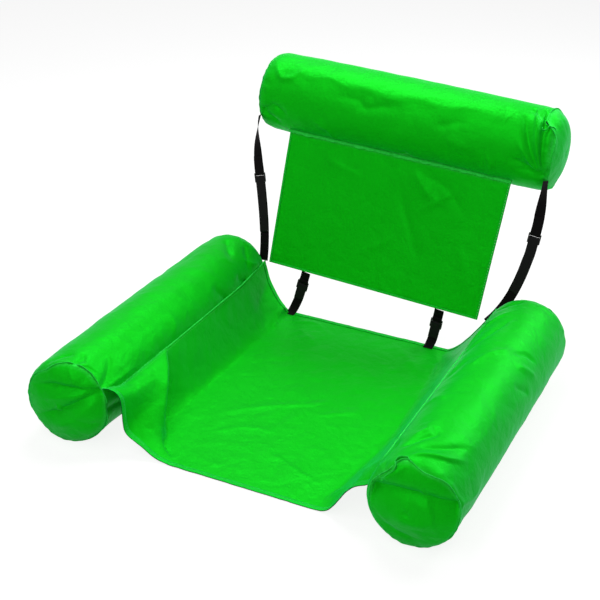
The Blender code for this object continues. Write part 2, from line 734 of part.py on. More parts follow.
def add_seat_strap(prefix, foot, top):
    """One short strap from the seat's rear hem up to the back panel's foot."""
    axis_point = backrest_matrix() @ Vector((top - AXIS_OFFSET, 0, 0))
    lie = SEAT_CLOTH + TOUCH_GAP + WEB_THICKNESS + PLY_GAP
    clear = WEB_THICKNESS + PLY_GAP
    stand = SEAT_REAR + BAR_WRAP
    curve = [
        Vector((foot, SEAT_REAR - SEAT_STRAP_HEM_LAP, lie)),
        Vector((foot, stand + BAR_WRAP, lie)),
        Vector((foot + (top - foot) / 3, axis_point.y + BAR_WRAP, lie + SEAT_SLIDER_DROP / 2)),
        Vector((top, axis_point.y, axis_point.z - clear)),
    ]
    path = StrapPath(curve, Vector((1, 0, 0)), lambda share: 0.0)
    slider_at = path.length - SEAT_SLIDER_DROP
    add_strap(prefix, path, slider_at, SEAT_LAP_LENGTH, SEAT_TAIL_LENGTH, None)


def build():
    """Empty the scene and build the whole lounger."""
    for item in list(bpy.data.objects):
        bpy.data.objects.remove(item, do_unlink=True)
    add_arm("left_arm", -1)
    add_arm("right_arm", 1)
    add_seat()
    frame = add_frame("recline_axis", backrest_matrix())
    add_back(frame)
    add_headrest(frame)
    add_side_strap("left_side_strap", -1, LEFT_SLIDER_HEIGHT, frame)
    add_side_strap("right_side_strap", 1, RIGHT_SLIDER_HEIGHT, frame)
    add_seat_strap("left_seat_strap", LEFT_SEAT_STRAP_FOOT, LEFT_SEAT_STRAP_TOP)
    add_seat_strap("right_seat_strap", RIGHT_SEAT_STRAP_FOOT, RIGHT_SEAT_STRAP_TOP)


build()
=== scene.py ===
"""Inflatable pool lounger: cloth, webbing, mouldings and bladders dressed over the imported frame.

Metres, +Z up. The origin is on the floor under the middle of the seat. +Y is towards the back.
Left (-X) and right (+X) are as seen by someone who faces the lounger.
"""
import logging
import math
from dataclasses import dataclass, field
from enum import Enum
from typing import Callable, Sequence

import bmesh
import bpy
import numpy as np
from mathutils import Matrix, Vector


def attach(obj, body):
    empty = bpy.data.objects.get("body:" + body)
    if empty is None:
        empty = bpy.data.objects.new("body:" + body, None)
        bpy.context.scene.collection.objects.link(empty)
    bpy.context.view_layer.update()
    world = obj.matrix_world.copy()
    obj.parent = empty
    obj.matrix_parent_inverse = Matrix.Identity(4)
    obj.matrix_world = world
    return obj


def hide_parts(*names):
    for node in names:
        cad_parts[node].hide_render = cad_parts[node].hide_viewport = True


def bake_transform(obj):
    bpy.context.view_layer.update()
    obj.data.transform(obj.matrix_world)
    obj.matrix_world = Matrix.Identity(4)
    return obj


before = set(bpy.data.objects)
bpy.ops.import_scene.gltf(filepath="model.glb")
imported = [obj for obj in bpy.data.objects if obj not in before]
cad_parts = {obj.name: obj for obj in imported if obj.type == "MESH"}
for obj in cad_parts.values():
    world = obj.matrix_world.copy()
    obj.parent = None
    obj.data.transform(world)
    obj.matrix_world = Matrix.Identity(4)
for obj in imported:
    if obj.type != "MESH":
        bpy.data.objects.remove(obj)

LOG = logging.getLogger("lounger")

Array = np.ndarray
Socket = bpy.types.NodeSocket

# Bolsters
OVERALL_WIDTH = 1.000
ARM_RADIUS = 0.0975
ARM_LENGTH = 0.782
HEADREST_RADIUS = 0.099
HEADREST_LENGTH = 0.764
END_ROUNDING = 0.025
END_DRAW_IN = 0.012
END_BULGE = 0.018
ARM_AXIS_HEIGHT = 0.097
ARM_CENTRE = OVERALL_WIDTH / 2 - ARM_RADIUS
VALVE_HOLE = 0.0075
VALVE_PATCH = 0.0170
VALVE_NECK = 0.0060

# Cloth and seams
CLOTH = 0.0006
SEAT_CLOTH = 0.0008
BACK_CLOTH = 0.0008
FILM = 0.0004
FILM_CLEARANCE = 0.0130
DOME_LENGTH = 0.0240
PLAIN_DOME_DROP = 0.020
WELD_DEPTH = 0.0012
TOUCH_GAP = 0.0003
FLOOR_GAP = 0.0002
HEM_WIDTH = 0.012
BACK_HEM = 0.006

# Seat
LEFT_SEAM_ANGLES = ((-0.366, 30.0), (-0.344, 25.0), (-0.305, 15.0), (0.250, 15.0), (0.392, 22.0))
RIGHT_SEAM_ANGLES = ((-0.362, 1.0), (-0.338, 12.0), (-0.305, 25.0), (-0.270, 29.0), (0.392, 29.0))
SEAM_SINK = 0.0020
SEAT_FRONT = -0.360
SEAT_REAR = 0.392
SEAT_SLOPE_RUN = 0.100
SEAT_FRONT_BOW = 0.004

# Backrest
AXIS_PLACE = (-0.018, 0.400, 0.1135)
BACK_LEAN = math.radians(16.6)
BACK_ROLL = math.radians(2.4)
BACK_YAW = math.radians(-1.2)
HEADREST_HEIGHT = 0.439
HEADREST_SETBACK = 0.046
BACK_TOP_WIDTH = 0.596
BACK_FOOT_WIDTH = 0.580
BACK_TOP_SINK = 0.0025
BACK_BILLOW = 0.006
PANEL_SEAM_ANGLE = math.radians(242.3)

# Webbing and sliders
WEB_WIDTH = 0.025
WEB_THICKNESS = 0.0012
SIDE_STRAP_ANGLE = math.radians(226.0)
SIDE_STRAP_STANDOFF = 0.0015
SIDE_STRAP_TWIST = math.radians(75.0)
SIDE_TAIL_LENGTH = 0.132
SIDE_LAP_LENGTH = 0.045
SEAT_TAIL_LENGTH = 0.030
SEAT_LAP_LENGTH = 0.008
SEAT_SLIDER_DROP = 0.040
SEAT_STRAP_HEM_LAP = 0.018
SLIDER_HEIGHT = 0.024
SLIDER_BAR = 0.003
PLY_GAP = WEB_THICKNESS / 2 + TOUCH_GAP / 2
BAR_WRAP = SLIDER_BAR / 2 + TOUCH_GAP + WEB_THICKNESS / 2
LOOP_REACH = BAR_WRAP + 0.0006
BAR_PITCH = (SLIDER_HEIGHT - SLIDER_BAR) / 2


class Slot(Enum):
    """Material slots of the part's record."""

    COVER = "cover_fabric"
    WEBBING = "webbing"
    FILM = "bladder_film"


class Side(Enum):
    """Which side of the lounger a piece is on."""

    LEFT = -1
    RIGHT = 1


# Shaping helpers

def smooth(share: Array | float) -> Array | float:
    """Ease from 0 to 1."""
    inside = np.clip(share, 0.0, 1.0)
    return inside * inside * (3.0 - 2.0 * inside)


def unit(vectors: Array) -> Array:
    """Vectors scaled to length 1."""
    size = np.linalg.norm(vectors, axis=-1, keepdims=True)
    return vectors / np.maximum(size, 1e-12)


def double_rows(grid: Array, closed: bool) -> Array:
    """Double a grid's rows on smooth curves; closed when the last row meets the first."""
    if closed:
        before, after, far = np.roll(grid, 1, 0), np.roll(grid, -1, 0), np.roll(grid, -2, 0)
        middle = (9 * (grid + after) - before - far) / 16
    else:
        padded = np.concatenate([2 * grid[:1] - grid[1:2], grid, 2 * grid[-1:] - grid[-2:-1]])
        middle = (9 * (padded[1:-2] + padded[2:-1]) - padded[:-3] - padded[3:]) / 16
    fine = np.empty((len(grid) + len(middle),) + grid.shape[1:])
    fine[0::2] = grid
    fine[1::2] = middle
    return fine


def refine(grid: Array) -> Array:
    """Double the rows and columns of a round grid, whose columns meet."""
    rows = double_rows(grid, False)
    return np.ascontiguousarray(double_rows(rows.swapaxes(0, 1), True).swapaxes(0, 1))


def relax(rows: Array, times: int) -> None:
    """Even out rows with their neighbours, in place; the first and last stay."""
    for _ in range(times):
        rows[1:-1] = (rows[:-2] + 2 * rows[1:-1] + rows[2:]) / 4


def reach_along(points: Array) -> Array:
    """Length along a line at each of its points."""
    return np.concatenate([[0.0], np.cumsum(np.linalg.norm(np.diff(points, axis=0), axis=1))])


def round_out(angles: Array) -> Array:
    """Directions away from the Y axis at angles round it."""
    return np.stack([np.cos(angles), 0 * angles, np.sin(angles)], axis=-1)


def half_turn(angles: Array) -> Array:
    """Angles brought to within half a turn of zero."""
    return (angles + math.pi) % math.tau - math.pi


def spread(across: Array, along: Array) -> Array:
    """Places on flat cloth, from its columns' places across and its rows' places along."""
    return np.stack(np.meshgrid(across, along), axis=-1)


def placed(points: Array, matrix: Matrix) -> Array:
    """Points of a frame of its own in the lounger's frame."""
    place = np.array(matrix)
    return points @ place[:3, :3].T + place[:3, 3]


def waver(along: Array, draw: np.random.Generator, low: float, high: float, count: int) -> Array:
    """Sum of waves along a line, with lengths drawn between low and high."""
    return sum(
        np.sin(along * math.tau / draw.uniform(low, high) + draw.uniform(0, math.tau)) for _ in range(count)
    )


def grid_normals(points: Array, closed: bool, outward: Array) -> Array:
    """Unit normals of a grid of points, on the side that outward points to.

    Args:
        points: the grid, of shape (rows, columns, 3).
        closed: the last column meets the first.
        outward: rough directions to the outside, of a shape that fits the grid.

    Returns:
        Normals of the grid's shape.
    """
    down = np.gradient(points, axis=0)
    if closed:
        across = np.roll(points, -1, axis=1) - np.roll(points, 1, axis=1)
    else:
        across = np.gradient(points, axis=1)
    normals = unit(np.cross(across, down))
    if np.sum(normals * outward) < 0:
        normals = -normals
    return normals


def resample(points: Array, pitch: float, inset: float = 0.0) -> tuple[Array, Array]:
    """Points at an even pitch along a line, and their places as positions in the line's own list.

    Args:
        points: the line, of shape (count, 3).
        pitch: distance between the new points.
        inset: length left free at both ends.

    Returns:
        The new points and their fractional indices.
    """
    reach = reach_along(points)
    count = max(int((reach[-1] - 2 * inset) / pitch), 1)
    wanted = np.linspace(inset, reach[-1] - inset, count + 1)
    index = np.interp(wanted, reach, np.arange(len(points)))
    return at_index(points, index), index


def at_index(values: Array, index: Array) -> Array:
    """Values between the rows of a list, at fractional indices."""
    low = np.clip(np.floor(index).astype(int), 0, len(values) - 2)
    part = (index - low)[:, None]
    return values[low] * (1 - part) + values[low + 1] * part


def along_line(knots: Sequence[tuple[float, ...]], share: Array) -> Array:
    """Points on a rounded line through knots, at shares of its length."""
    corners = np.array(knots)
    path = at_index(corners, np.linspace(0, len(corners) - 1, 12 * len(corners)))
    relax(path, 30)
    reach = reach_along(path)
    return at_index(path, np.interp(share * reach[-1], reach, np.arange(len(path))))


@dataclass(frozen=True)
class Fold:
    """One fold in cloth: a line over the flat cloth that stands up or sinks in.

    line is in the flat cloth's own metres, lean makes one flank steeper, and hold keeps the full
    height at the line's ends, as (start, end), where a seam gathers the cloth.
    """

    line: tuple[tuple[float, float], ...]
    height: float
    width: float
    lean: float = 0.0
    hold: tuple[bool, bool] = (False, False)

    def raise_at(self, flat: Array, wrap: float = 0.0) -> Array:
        """Height of the fold at places on the flat cloth.

        Args:
            flat: places, of shape (..., 2).
            wrap: distance round the cloth after which it meets itself, or 0.

        Returns:
            Heights, of shape (...).
        """
        corners = np.array(self.line)
        index = np.linspace(0, len(corners) - 1, 6 * len(corners))
        path = at_index(corners, index)
        relax(path, 3)
        best = np.full(flat.shape[:-1], 1e9)
        place = np.zeros(flat.shape[:-1])
        side = np.zeros(flat.shape[:-1])
        for k in range(len(path) - 1):
            run = path[k + 1] - path[k]
            gap = flat - path[k]
            if wrap:
                gap = gap.copy()
                gap[..., 0] = (gap[..., 0] + wrap / 2) % wrap - wrap / 2
            t = np.clip((gap @ run) / (run @ run), 0, 1)
            off = gap - t[..., None] * run
            distance = np.linalg.norm(off, axis=-1)
            nearer = distance < best
            best = np.where(nearer, distance, best)
            place = np.where(nearer, (k + t) / (len(path) - 1), place)
            side = np.where(nearer, np.sign(run[0] * gap[..., 1] - run[1] * gap[..., 0]), side)
        x = best / (self.width * (1.0 - self.lean * side))
        rounding = 0.35
        profile = np.exp(-1.6 * (np.sqrt(x * x + rounding * rounding) - rounding))
        start = 1.0 if self.hold[0] else smooth(place / 0.35)
        end = 1.0 if self.hold[1] else smooth((1.0 - place) / 0.35)
        return self.height * profile * start * end


# Which end of a fold's line keeps its full height
AT_START = (True, False)
AT_END = (False, True)


def lift_of(folds: Sequence[Fold], flat: Array, wrap: float = 0.0) -> Array:
    """Height of all the folds together at places on the flat cloth."""
    lift = np.zeros(flat.shape[:-1])
    for fold in folds:
        lift += fold.raise_at(flat, wrap)
    return lift


@dataclass(frozen=True)
class Ripple:
    """Unevenness of slack cloth: waves in all directions, with creases where they fold over."""

    height: float
    wavelength: float
    seed: int
    waves: int = 6

    def raise_at(self, points: Array, creased: float = 0.0) -> Array:
        """Height at places in space; creased (0 to 1) turns round waves into sharp ones."""
        draw = np.random.default_rng(self.seed)
        total = np.zeros(points.shape[:-1])
        for _ in range(self.waves):
            heading = unit(draw.normal(size=3))
            length = self.wavelength * draw.uniform(0.6, 1.6)
            wave = np.sin(points @ heading * (math.tau / length) + draw.uniform(0, math.tau))
            total += wave
        total /= math.sqrt(self.waves)
        sharp = 1.0 - 2.0 * np.minimum(np.abs(total), 1.0)
        return self.height * ((1.0 - creased) * total + creased * sharp)


# Mesh helpers

def grid_faces(rows: int, columns: int, closed: bool) -> Array:
    """Corner numbers of the quads of a grid whose points run row by row."""
    index = np.arange(rows * columns).reshape(rows, columns)
    right = np.roll(index, -1, axis=1) if closed else index[:, 1:]
    left = index if closed else index[:, :-1]
    quads = np.stack([left[:-1], right[:-1], right[1:], left[1:]], axis=-1)
    return quads.reshape(-1, 4)


def make_object(name: str, points: Array, faces: Sequence[Sequence[int]]) -> bpy.types.Object:
    """A smooth mesh object from points and faces, in the scene."""
    mesh = bpy.data.meshes.new(name)
    mesh.from_pydata(np.asarray(points).reshape(-1, 3).tolist(), [], [list(face) for face in faces])
    mesh.shade_smooth()
    piece = bpy.data.objects.new(name, mesh)
    bpy.context.scene.collection.objects.link(piece)
    return piece


def write_wear(piece: bpy.types.Object, values: Array) -> None:
    """Store how close each point is to an edge or seam, from 0 to 1."""
    layer = piece.data.attributes.new("wear", "FLOAT", "POINT")
    layer.data.foreach_set("value", np.asarray(values, dtype=np.float32).reshape(-1))


def grid_piece(
    name: str,
    points: Array,
    flat: Array,
    closed: bool = False,
    wear: Array | None = None,
    facing: Array | None = None,
) -> bpy.types.Object:
    """Make a sheet from a grid of points.

    Args:
        name: the piece's name.
        points: grid of shape (rows, columns, 3).
        flat: places on the flat cloth, (rows, columns, 2), with one more column when closed.
        closed: the last column meets the first.
        wear: closeness to an edge for each point, or None.
        facing: rough directions that the outside faces, of a shape that fits the grid.

    Returns:
        The piece.
    """
    rows, columns = points.shape[:2]
    faces = grid_faces(rows, columns, closed)
    left, right = flat[:, :-1], flat[:, 1:]
    corners = np.stack([left[:-1], right[:-1], right[1:], left[1:]], axis=2).reshape(-1, 4, 2)
    if facing is not None:
        a, b, d = (points.reshape(-1, 3)[faces[:, k]] for k in (0, 1, 3))
        out = np.broadcast_to(facing, points.shape).reshape(-1, 3)[faces[:, 0]]
        if np.sum(np.cross(b - a, d - a) * out) < 0:
            faces, corners = faces[:, ::-1], corners[:, ::-1]
    piece = make_object(name, points, faces)
    layer = piece.data.uv_layers.new(name="cloth")
    layer.data.foreach_set("uv", np.asarray(corners, dtype=np.float32).reshape(-1))
    write_wear(piece, np.zeros((rows, columns)) if wear is None else wear)
    return piece


def close_ends(piece: bpy.types.Object, sides: int, *rings: int) -> None:
    """Close rings of a closed grid with a face each, join points that coincide, and face it outwards."""
    work = bmesh.new()
    work.from_mesh(piece.data)
    work.verts.ensure_lookup_table()
    for ring in rings:
        face = work.faces.new([work.verts[ring * sides + i] for i in range(sides)])
        face.smooth = True
    bmesh.ops.remove_doubles(work, verts=work.verts, dist=1e-6)
    bmesh.ops.recalc_face_normals(work, faces=work.faces)
    work.to_mesh(piece.data)
    work.free()


# Inflating cloth

@dataclass(frozen=True)
class Inflation:
    """How hard and how long a cloth cover is blown up.

    The cloth is worked on at several times its size, where the solver's steps are fine enough.
    """

    pressure: float = 4.0
    mass: float = 0.05
    stretch: float = 15.0
    shear: float = 8.0
    bending: float = 0.3
    steps: int = 20
    scale: float = 10.0
    most: float = 0.006

    def run(self, start: Array, held: Array) -> Array:
        """Blow up a round grid of cloth.

        Args:
            start: points of shape (rows, columns, 3); the columns meet, the end rings are closed.
            held: how firmly each point is held, of shape (rows, columns).

        Returns:
            The inflated points, moved by the cap at most.
        """
        rows, columns = start.shape[:2]
        faces = [list(face) for face in grid_faces(rows, columns, True)]
        last = rows * columns
        faces.append(list(range(columns)))
        faces.append(list(range(last - columns, last))[::-1])
        cover = make_object("cover_to_inflate", start * self.scale, faces)
        cover.data.validate()
        centre = np.mean(start.reshape(-1, 3), axis=0) * self.scale
        outward = sum((f.center - Vector(centre)).dot(f.normal) * f.area for f in cover.data.polygons)
        if outward < 0:
            cover.data.flip_normals()
        group = cover.vertex_groups.new(name="held")
        flat_held = held.reshape(-1)
        for level in np.unique(flat_held[flat_held > 0]):
            members = np.nonzero(flat_held == level)[0]
            group.add([int(i) for i in members], float(level), "REPLACE")
        cloth = cover.modifiers.new("inflate", "CLOTH")
        settings = cloth.settings
        settings.quality = 5
        settings.mass = self.mass
        settings.tension_stiffness = self.stretch
        settings.compression_stiffness = self.stretch
        settings.shear_stiffness = self.shear
        settings.bending_stiffness = self.bending
        settings.use_pressure = True
        settings.uniform_pressure_force = self.pressure
        settings.vertex_group_mass = "held"
        settings.effector_weights.gravity = 0.0
        cloth.collision_settings.use_collision = False
        cloth.point_cache.frame_start = 1
        cloth.point_cache.frame_end = self.steps
        for step in range(1, self.steps + 1):
            bpy.context.scene.frame_set(step)
        done = cover.evaluated_get(bpy.context.evaluated_depsgraph_get())
        flat = np.zeros(last * 3, np.float32)
        done.data.vertices.foreach_get("co", flat)
        blown = flat.reshape(start.shape).astype(float) / self.scale
        bpy.context.scene.frame_set(1)
        mesh = cover.data
        bpy.data.objects.remove(cover)
        bpy.data.meshes.remove(mesh)
        moved = blown - start
        relax(moved, 4)
        moved[held == 1.0] = 0.0
        size = np.linalg.norm(moved, axis=-1, keepdims=True)
        limited = self.most * np.tanh(size / self.most)
        return start + moved * limited / np.maximum(size, 1e-9)


# Shader helpers

class Graph:
    """Lays out and joins the nodes of one shader tree."""

    def __init__(self, tree: bpy.types.NodeTree) -> None:
        """Start on a tree."""
        self.tree = tree
        self.count = 0

    def node(self, kind: str, **settings: object) -> bpy.types.Node:
        """Add a node of a kind and set its own properties."""
        made = self.tree.nodes.new(kind)
        made.location = (200 * (self.count % 8), -220 * (self.count // 8))
        self.count += 1
        for name, value in settings.items():
            setattr(made, name, value)
        return made

    def feed(self, socket: Socket, value: Socket | float | tuple) -> None:
        """Join a socket to another, or set its own value."""
        if isinstance(value, bpy.types.NodeSocket):
            self.tree.links.new(value, socket)
        else:
            socket.default_value = value

    def math(self, operation: str, *values: Socket | float) -> Socket:
        """Result of a calculation on values or sockets."""
        made = self.node("ShaderNodeMath", operation=operation)
        for socket, value in zip(made.inputs, values):
            self.feed(socket, value)
        return made.outputs[0]

    def noise(self, vector: Socket, scale: Socket | float, detail: float, roughness: float = 0.5) -> Socket:
        """Soft noise over a vector, from 0 to 1."""
        made = self.node("ShaderNodeTexNoise")
        for name, value in (
            ("Vector", vector), ("Scale", scale), ("Detail", detail), ("Roughness", roughness),
        ):
            self.feed(made.inputs[name], value)
        return made.outputs["Fac"]

    def ramp(
        self, value: Socket, low: float, high: float, to_low: float = 0.0, to_high: float = 1.0
    ) -> Socket:
        """Map a value from one range to another, clamped."""
        made = self.node("ShaderNodeMapRange", clamp=True)
        self.feed(made.inputs["Value"], value)
        for name, number in (("From Min", low), ("From Max", high), ("To Min", to_low), ("To Max", to_high)):
            made.inputs[name].default_value = number
        return made.outputs["Result"]

    def mix(self, share: Socket | float, first: Socket | tuple, second: Socket | tuple) -> Socket:
        """Colour between two colours."""
        made = self.node("ShaderNodeMix", data_type="RGBA")
        self.feed(made.inputs["Factor"], share)
        self.feed(made.inputs["A"], first)
        self.feed(made.inputs["B"], second)
        return made.outputs["Result"]

    def group(self, tree: bpy.types.NodeTree, **values: Socket | float | tuple) -> bpy.types.Node:
        """Place a node group and feed its named inputs."""
        made = self.node("ShaderNodeGroup", node_tree=tree)
        for name, value in values.items():
            self.feed(made.inputs[name], value)
        return made


class GroupMaker:
    """Starts a shader node group with named inputs and outputs."""

    def __init__(self, name: str, inputs: dict[str, tuple[str, object]], outputs: dict[str, str]) -> None:
        """Make the group.

        Args:
            name: the group's name.
            inputs: name to (socket kind, default value).
            outputs: name to socket kind.
        """
        self.tree = bpy.data.node_groups.new(name, "ShaderNodeTree")
        for label, (kind, value) in inputs.items():
            socket = self.tree.interface.new_socket(name=label, in_out="INPUT", socket_type=kind)
            if value is not None:
                socket.default_value = value
        for label, kind in outputs.items():
            self.tree.interface.new_socket(name=label, in_out="OUTPUT", socket_type=kind)
        self.graph = Graph(self.tree)
        self.inputs = self.graph.node("NodeGroupInput").outputs
        self.outputs = self.graph.node("NodeGroupOutput").inputs


FLOAT = "NodeSocketFloat"
COLOUR = "NodeSocketColor"
VECTOR = "NodeSocketVector"


def make_weave_group() -> bpy.types.NodeTree:
    """Plain weave: threads over and under each other, as a height and a mask of the gaps."""
    maker = GroupMaker(
        "plain_weave",
        {"Cloth": (VECTOR, None), "Pitch": (FLOAT, 0.0004), "Unevenness": (FLOAT, 0.2)},
        {"Height": FLOAT, "Gaps": FLOAT},
    )
    g = maker.graph
    parts = g.node("ShaderNodeSeparateXYZ")
    g.feed(parts.inputs[0], maker.inputs["Cloth"])
    waves = []
    for axis in ("X", "Y"):
        turns = g.math("DIVIDE", parts.outputs[axis], maker.inputs["Pitch"])
        waves.append(g.math("SINE", g.math("MULTIPLY", turns, math.pi)))
    crossing = g.math("MULTIPLY", waves[0], waves[1])
    over = g.math("MULTIPLY_ADD", crossing, 0.5, 0.5)
    slub = g.noise(maker.inputs["Cloth"], 900.0, 1.0)
    uneven = g.math("MULTIPLY", g.math("SUBTRACT", slub, 0.5), maker.inputs["Unevenness"])
    g.feed(maker.outputs["Height"], g.math("ADD", over, uneven))
    closeness = g.math("ABSOLUTE", crossing)
    g.feed(maker.outputs["Gaps"], g.ramp(closeness, 0.0, 0.25, 1.0, 0.0))
    return maker.tree


def make_crinkle_group() -> bpy.types.NodeTree:
    """Fine creases of coated cloth that has been folded and packed, as a height."""
    maker = GroupMaker(
        "packed_cloth_creases",
        {"Place": (VECTOR, None), "Scale": (FLOAT, 20.0), "Sharpness": (FLOAT, 0.5)},
        {"Height": FLOAT},
    )
    g = maker.graph
    bent = g.node("ShaderNodeVectorMath", operation="ADD")
    warp = g.node("ShaderNodeTexNoise")
    g.feed(warp.inputs["Vector"], maker.inputs["Place"])
    g.feed(warp.inputs["Scale"], g.math("MULTIPLY", maker.inputs["Scale"], 0.6))
    shift = g.node("ShaderNodeVectorMath", operation="SCALE")
    g.feed(shift.inputs[0], warp.outputs["Color"])
    g.feed(shift.inputs["Scale"], 0.03)
    g.feed(bent.inputs[0], maker.inputs["Place"])
    g.feed(bent.inputs[1], shift.outputs[0])
    cells = g.node("ShaderNodeTexVoronoi", feature="DISTANCE_TO_EDGE")
    g.feed(cells.inputs["Vector"], bent.outputs[0])
    g.feed(cells.inputs["Scale"], maker.inputs["Scale"])
    facets = g.ramp(cells.outputs["Distance"], 0.0, 0.45)
    waves = g.noise(bent.outputs[0], g.math("MULTIPLY", maker.inputs["Scale"], 2.3), 3.0, 0.55)
    ridged = g.math("ABSOLUTE", g.math("SUBTRACT", waves, 0.5))
    soft = g.math("MULTIPLY", ridged, 1.6)
    height = g.node("ShaderNodeMix", data_type="FLOAT")
    g.feed(height.inputs["Factor"], maker.inputs["Sharpness"])
    g.feed(height.inputs["A"], soft)
    g.feed(height.inputs["B"], facets)
    g.feed(maker.outputs["Height"], height.outputs["Result"])
    return maker.tree


def make_fade_group() -> bpy.types.NodeTree:
    """Colour variation of used cloth: broad mottling, fine grain and paler worn edges."""
    maker = GroupMaker(
        "used_colour",
        {
            "Place": (VECTOR, None),
            "Colour": (COLOUR, (0.5, 0.5, 0.5, 1.0)),
            "Worn": (COLOUR, (0.8, 0.8, 0.8, 1.0)),
            "Mottle": (FLOAT, 0.1),
            "Wear": (FLOAT, 0.0),
        },
        {"Colour": COLOUR, "Mask": FLOAT},
    )
    g = maker.graph
    broad = g.noise(maker.inputs["Place"], 7.0, 3.0, 0.55)
    grain = g.noise(maker.inputs["Place"], 160.0, 2.0, 0.6)
    both = g.math("MULTIPLY_ADD", grain, 0.35, g.math("MULTIPLY", broad, 0.65))
    swing = g.math("MULTIPLY", g.math("SUBTRACT", both, 0.5), maker.inputs["Mottle"])
    tone = g.node("ShaderNodeHueSaturation")
    g.feed(tone.inputs["Color"], maker.inputs["Colour"])
    g.feed(tone.inputs["Value"], g.math("ADD", g.math("MULTIPLY", swing, 2.0), 1.0))
    broken = g.math("MULTIPLY", maker.inputs["Wear"], g.ramp(grain, 0.35, 0.65, 0.45, 1.0))
    g.feed(maker.outputs["Colour"], g.mix(broken, tone.outputs["Color"], maker.inputs["Worn"]))
    g.feed(maker.outputs["Mask"], broken)
    return maker.tree


class Effects:
    """The node groups that more than one finish uses, built once."""

    weave: bpy.types.NodeTree
    crinkle: bpy.types.NodeTree
    fade: bpy.types.NodeTree

    @classmethod
    def build(cls) -> None:
        """Make every group."""
        cls.weave = make_weave_group()
        cls.crinkle = make_crinkle_group()
        cls.fade = make_fade_group()


def start_material(name: str) -> tuple[bpy.types.Material, Graph, bpy.types.Node]:
    """A new material, its graph and its Principled shader joined to the output."""
    material = bpy.data.materials.new(name)
    material.use_nodes = True
    material.node_tree.nodes.clear()
    graph = Graph(material.node_tree)
    shader = graph.node("ShaderNodeBsdfPrincipled")
    output = graph.node("ShaderNodeOutputMaterial")
    graph.feed(output.inputs["Surface"], shader.outputs["BSDF"])
    return material, graph, shader


def wear_of(graph: Graph) -> Socket:
    """The closeness to an edge that is stored on the mesh."""
    return graph.node("ShaderNodeAttribute", attribute_name="wear").outputs["Fac"]


def cloth_map(graph: Graph) -> Socket:
    """The flat cloth's own metres."""
    return graph.node("ShaderNodeUVMap", uv_map="cloth").outputs["UV"]


def place_in_object(graph: Graph) -> Socket:
    """Places in the object's own space."""
    return graph.node("ShaderNodeTexCoord").outputs["Object"]


def bump(
    graph: Graph, height: Socket, distance: float, strength: float, under: Socket | None = None
) -> Socket:
    """Normal raised by a height in metres, on top of another normal if given."""
    made = graph.node("ShaderNodeBump")
    made.inputs["Strength"].default_value = strength
    made.inputs["Distance"].default_value = distance
    graph.feed(made.inputs["Height"], height)
    if under is not None:
        graph.feed(made.inputs["Normal"], under)
    return made.outputs["Normal"]


@dataclass(frozen=True)
class CoatedCloth:
    """Coated polyester cover cloth with a satin face, fine creases and paler edges."""

    name: str
    colour: tuple[float, float, float, float]
    worn: tuple[float, float, float, float]
    roughness: float = 0.40
    mottle: float = 0.10
    crease_scale: float = 16.0
    crease_depth: float = 0.0026
    weave_pitch: float = 0.00042

    def material(self) -> bpy.types.Material:
        """Build the material."""
        material, g, shader = start_material(self.name)
        place = place_in_object(g)
        shade = g.group(
            Effects.fade, Place=place, Colour=self.colour, Worn=self.worn, Mottle=self.mottle, Wear=wear_of(g)
        )
        g.feed(shader.inputs["Base Color"], shade.outputs["Colour"])
        crease = g.group(Effects.crinkle, Place=place, Scale=self.crease_scale, Sharpness=0.45)
        weave = g.group(Effects.weave, Cloth=cloth_map(g), Pitch=self.weave_pitch, Unevenness=0.3)
        base = bump(g, crease.outputs["Height"], self.crease_depth, 0.9)
        g.feed(shader.inputs["Normal"], bump(g, weave.outputs["Height"], 0.00006, 0.35, base))
        dull = g.math("MULTIPLY_ADD", weave.outputs["Gaps"], 0.10, self.roughness)
        g.feed(shader.inputs["Roughness"], g.math("MULTIPLY_ADD", shade.outputs["Mask"], 0.15, dull))
        for name, value in (
            ("Metallic", 0.18), ("Specular IOR Level", 0.03), ("Specular Tint", (0.05, 1.0, 0.80, 1.0)),
            ("Sheen Weight", 0.12), ("Sheen Roughness", 0.45), ("Sheen Tint", (0.1, 0.8, 1.0, 1.0)),
        ):
            shader.inputs[name].default_value = value
        return material


@dataclass(frozen=True)
class Webbing:
    """Woven polypropylene strap with ribs across it and fuzzy edges."""

    name: str
    colour: tuple[float, float, float, float]
    worn: tuple[float, float, float, float]
    rib_pitch: float = 0.0011

    def material(self) -> bpy.types.Material:
        """Build the material."""
        material, g, shader = start_material(self.name)
        place = place_in_object(g)
        shade = g.group(
            Effects.fade, Place=place, Colour=self.colour, Worn=self.worn, Mottle=0.35, Wear=wear_of(g)
        )
        g.feed(shader.inputs["Base Color"], shade.outputs["Colour"])
        weave = g.group(Effects.weave, Cloth=cloth_map(g), Pitch=self.rib_pitch, Unevenness=0.4)
        g.feed(shader.inputs["Normal"], bump(g, weave.outputs["Height"], 0.00025, 0.9))
        g.feed(shader.inputs["Roughness"], g.math("MULTIPLY_ADD", weave.outputs["Gaps"], 0.2, 0.62))
        shader.inputs["Specular IOR Level"].default_value = 0.06
        return material


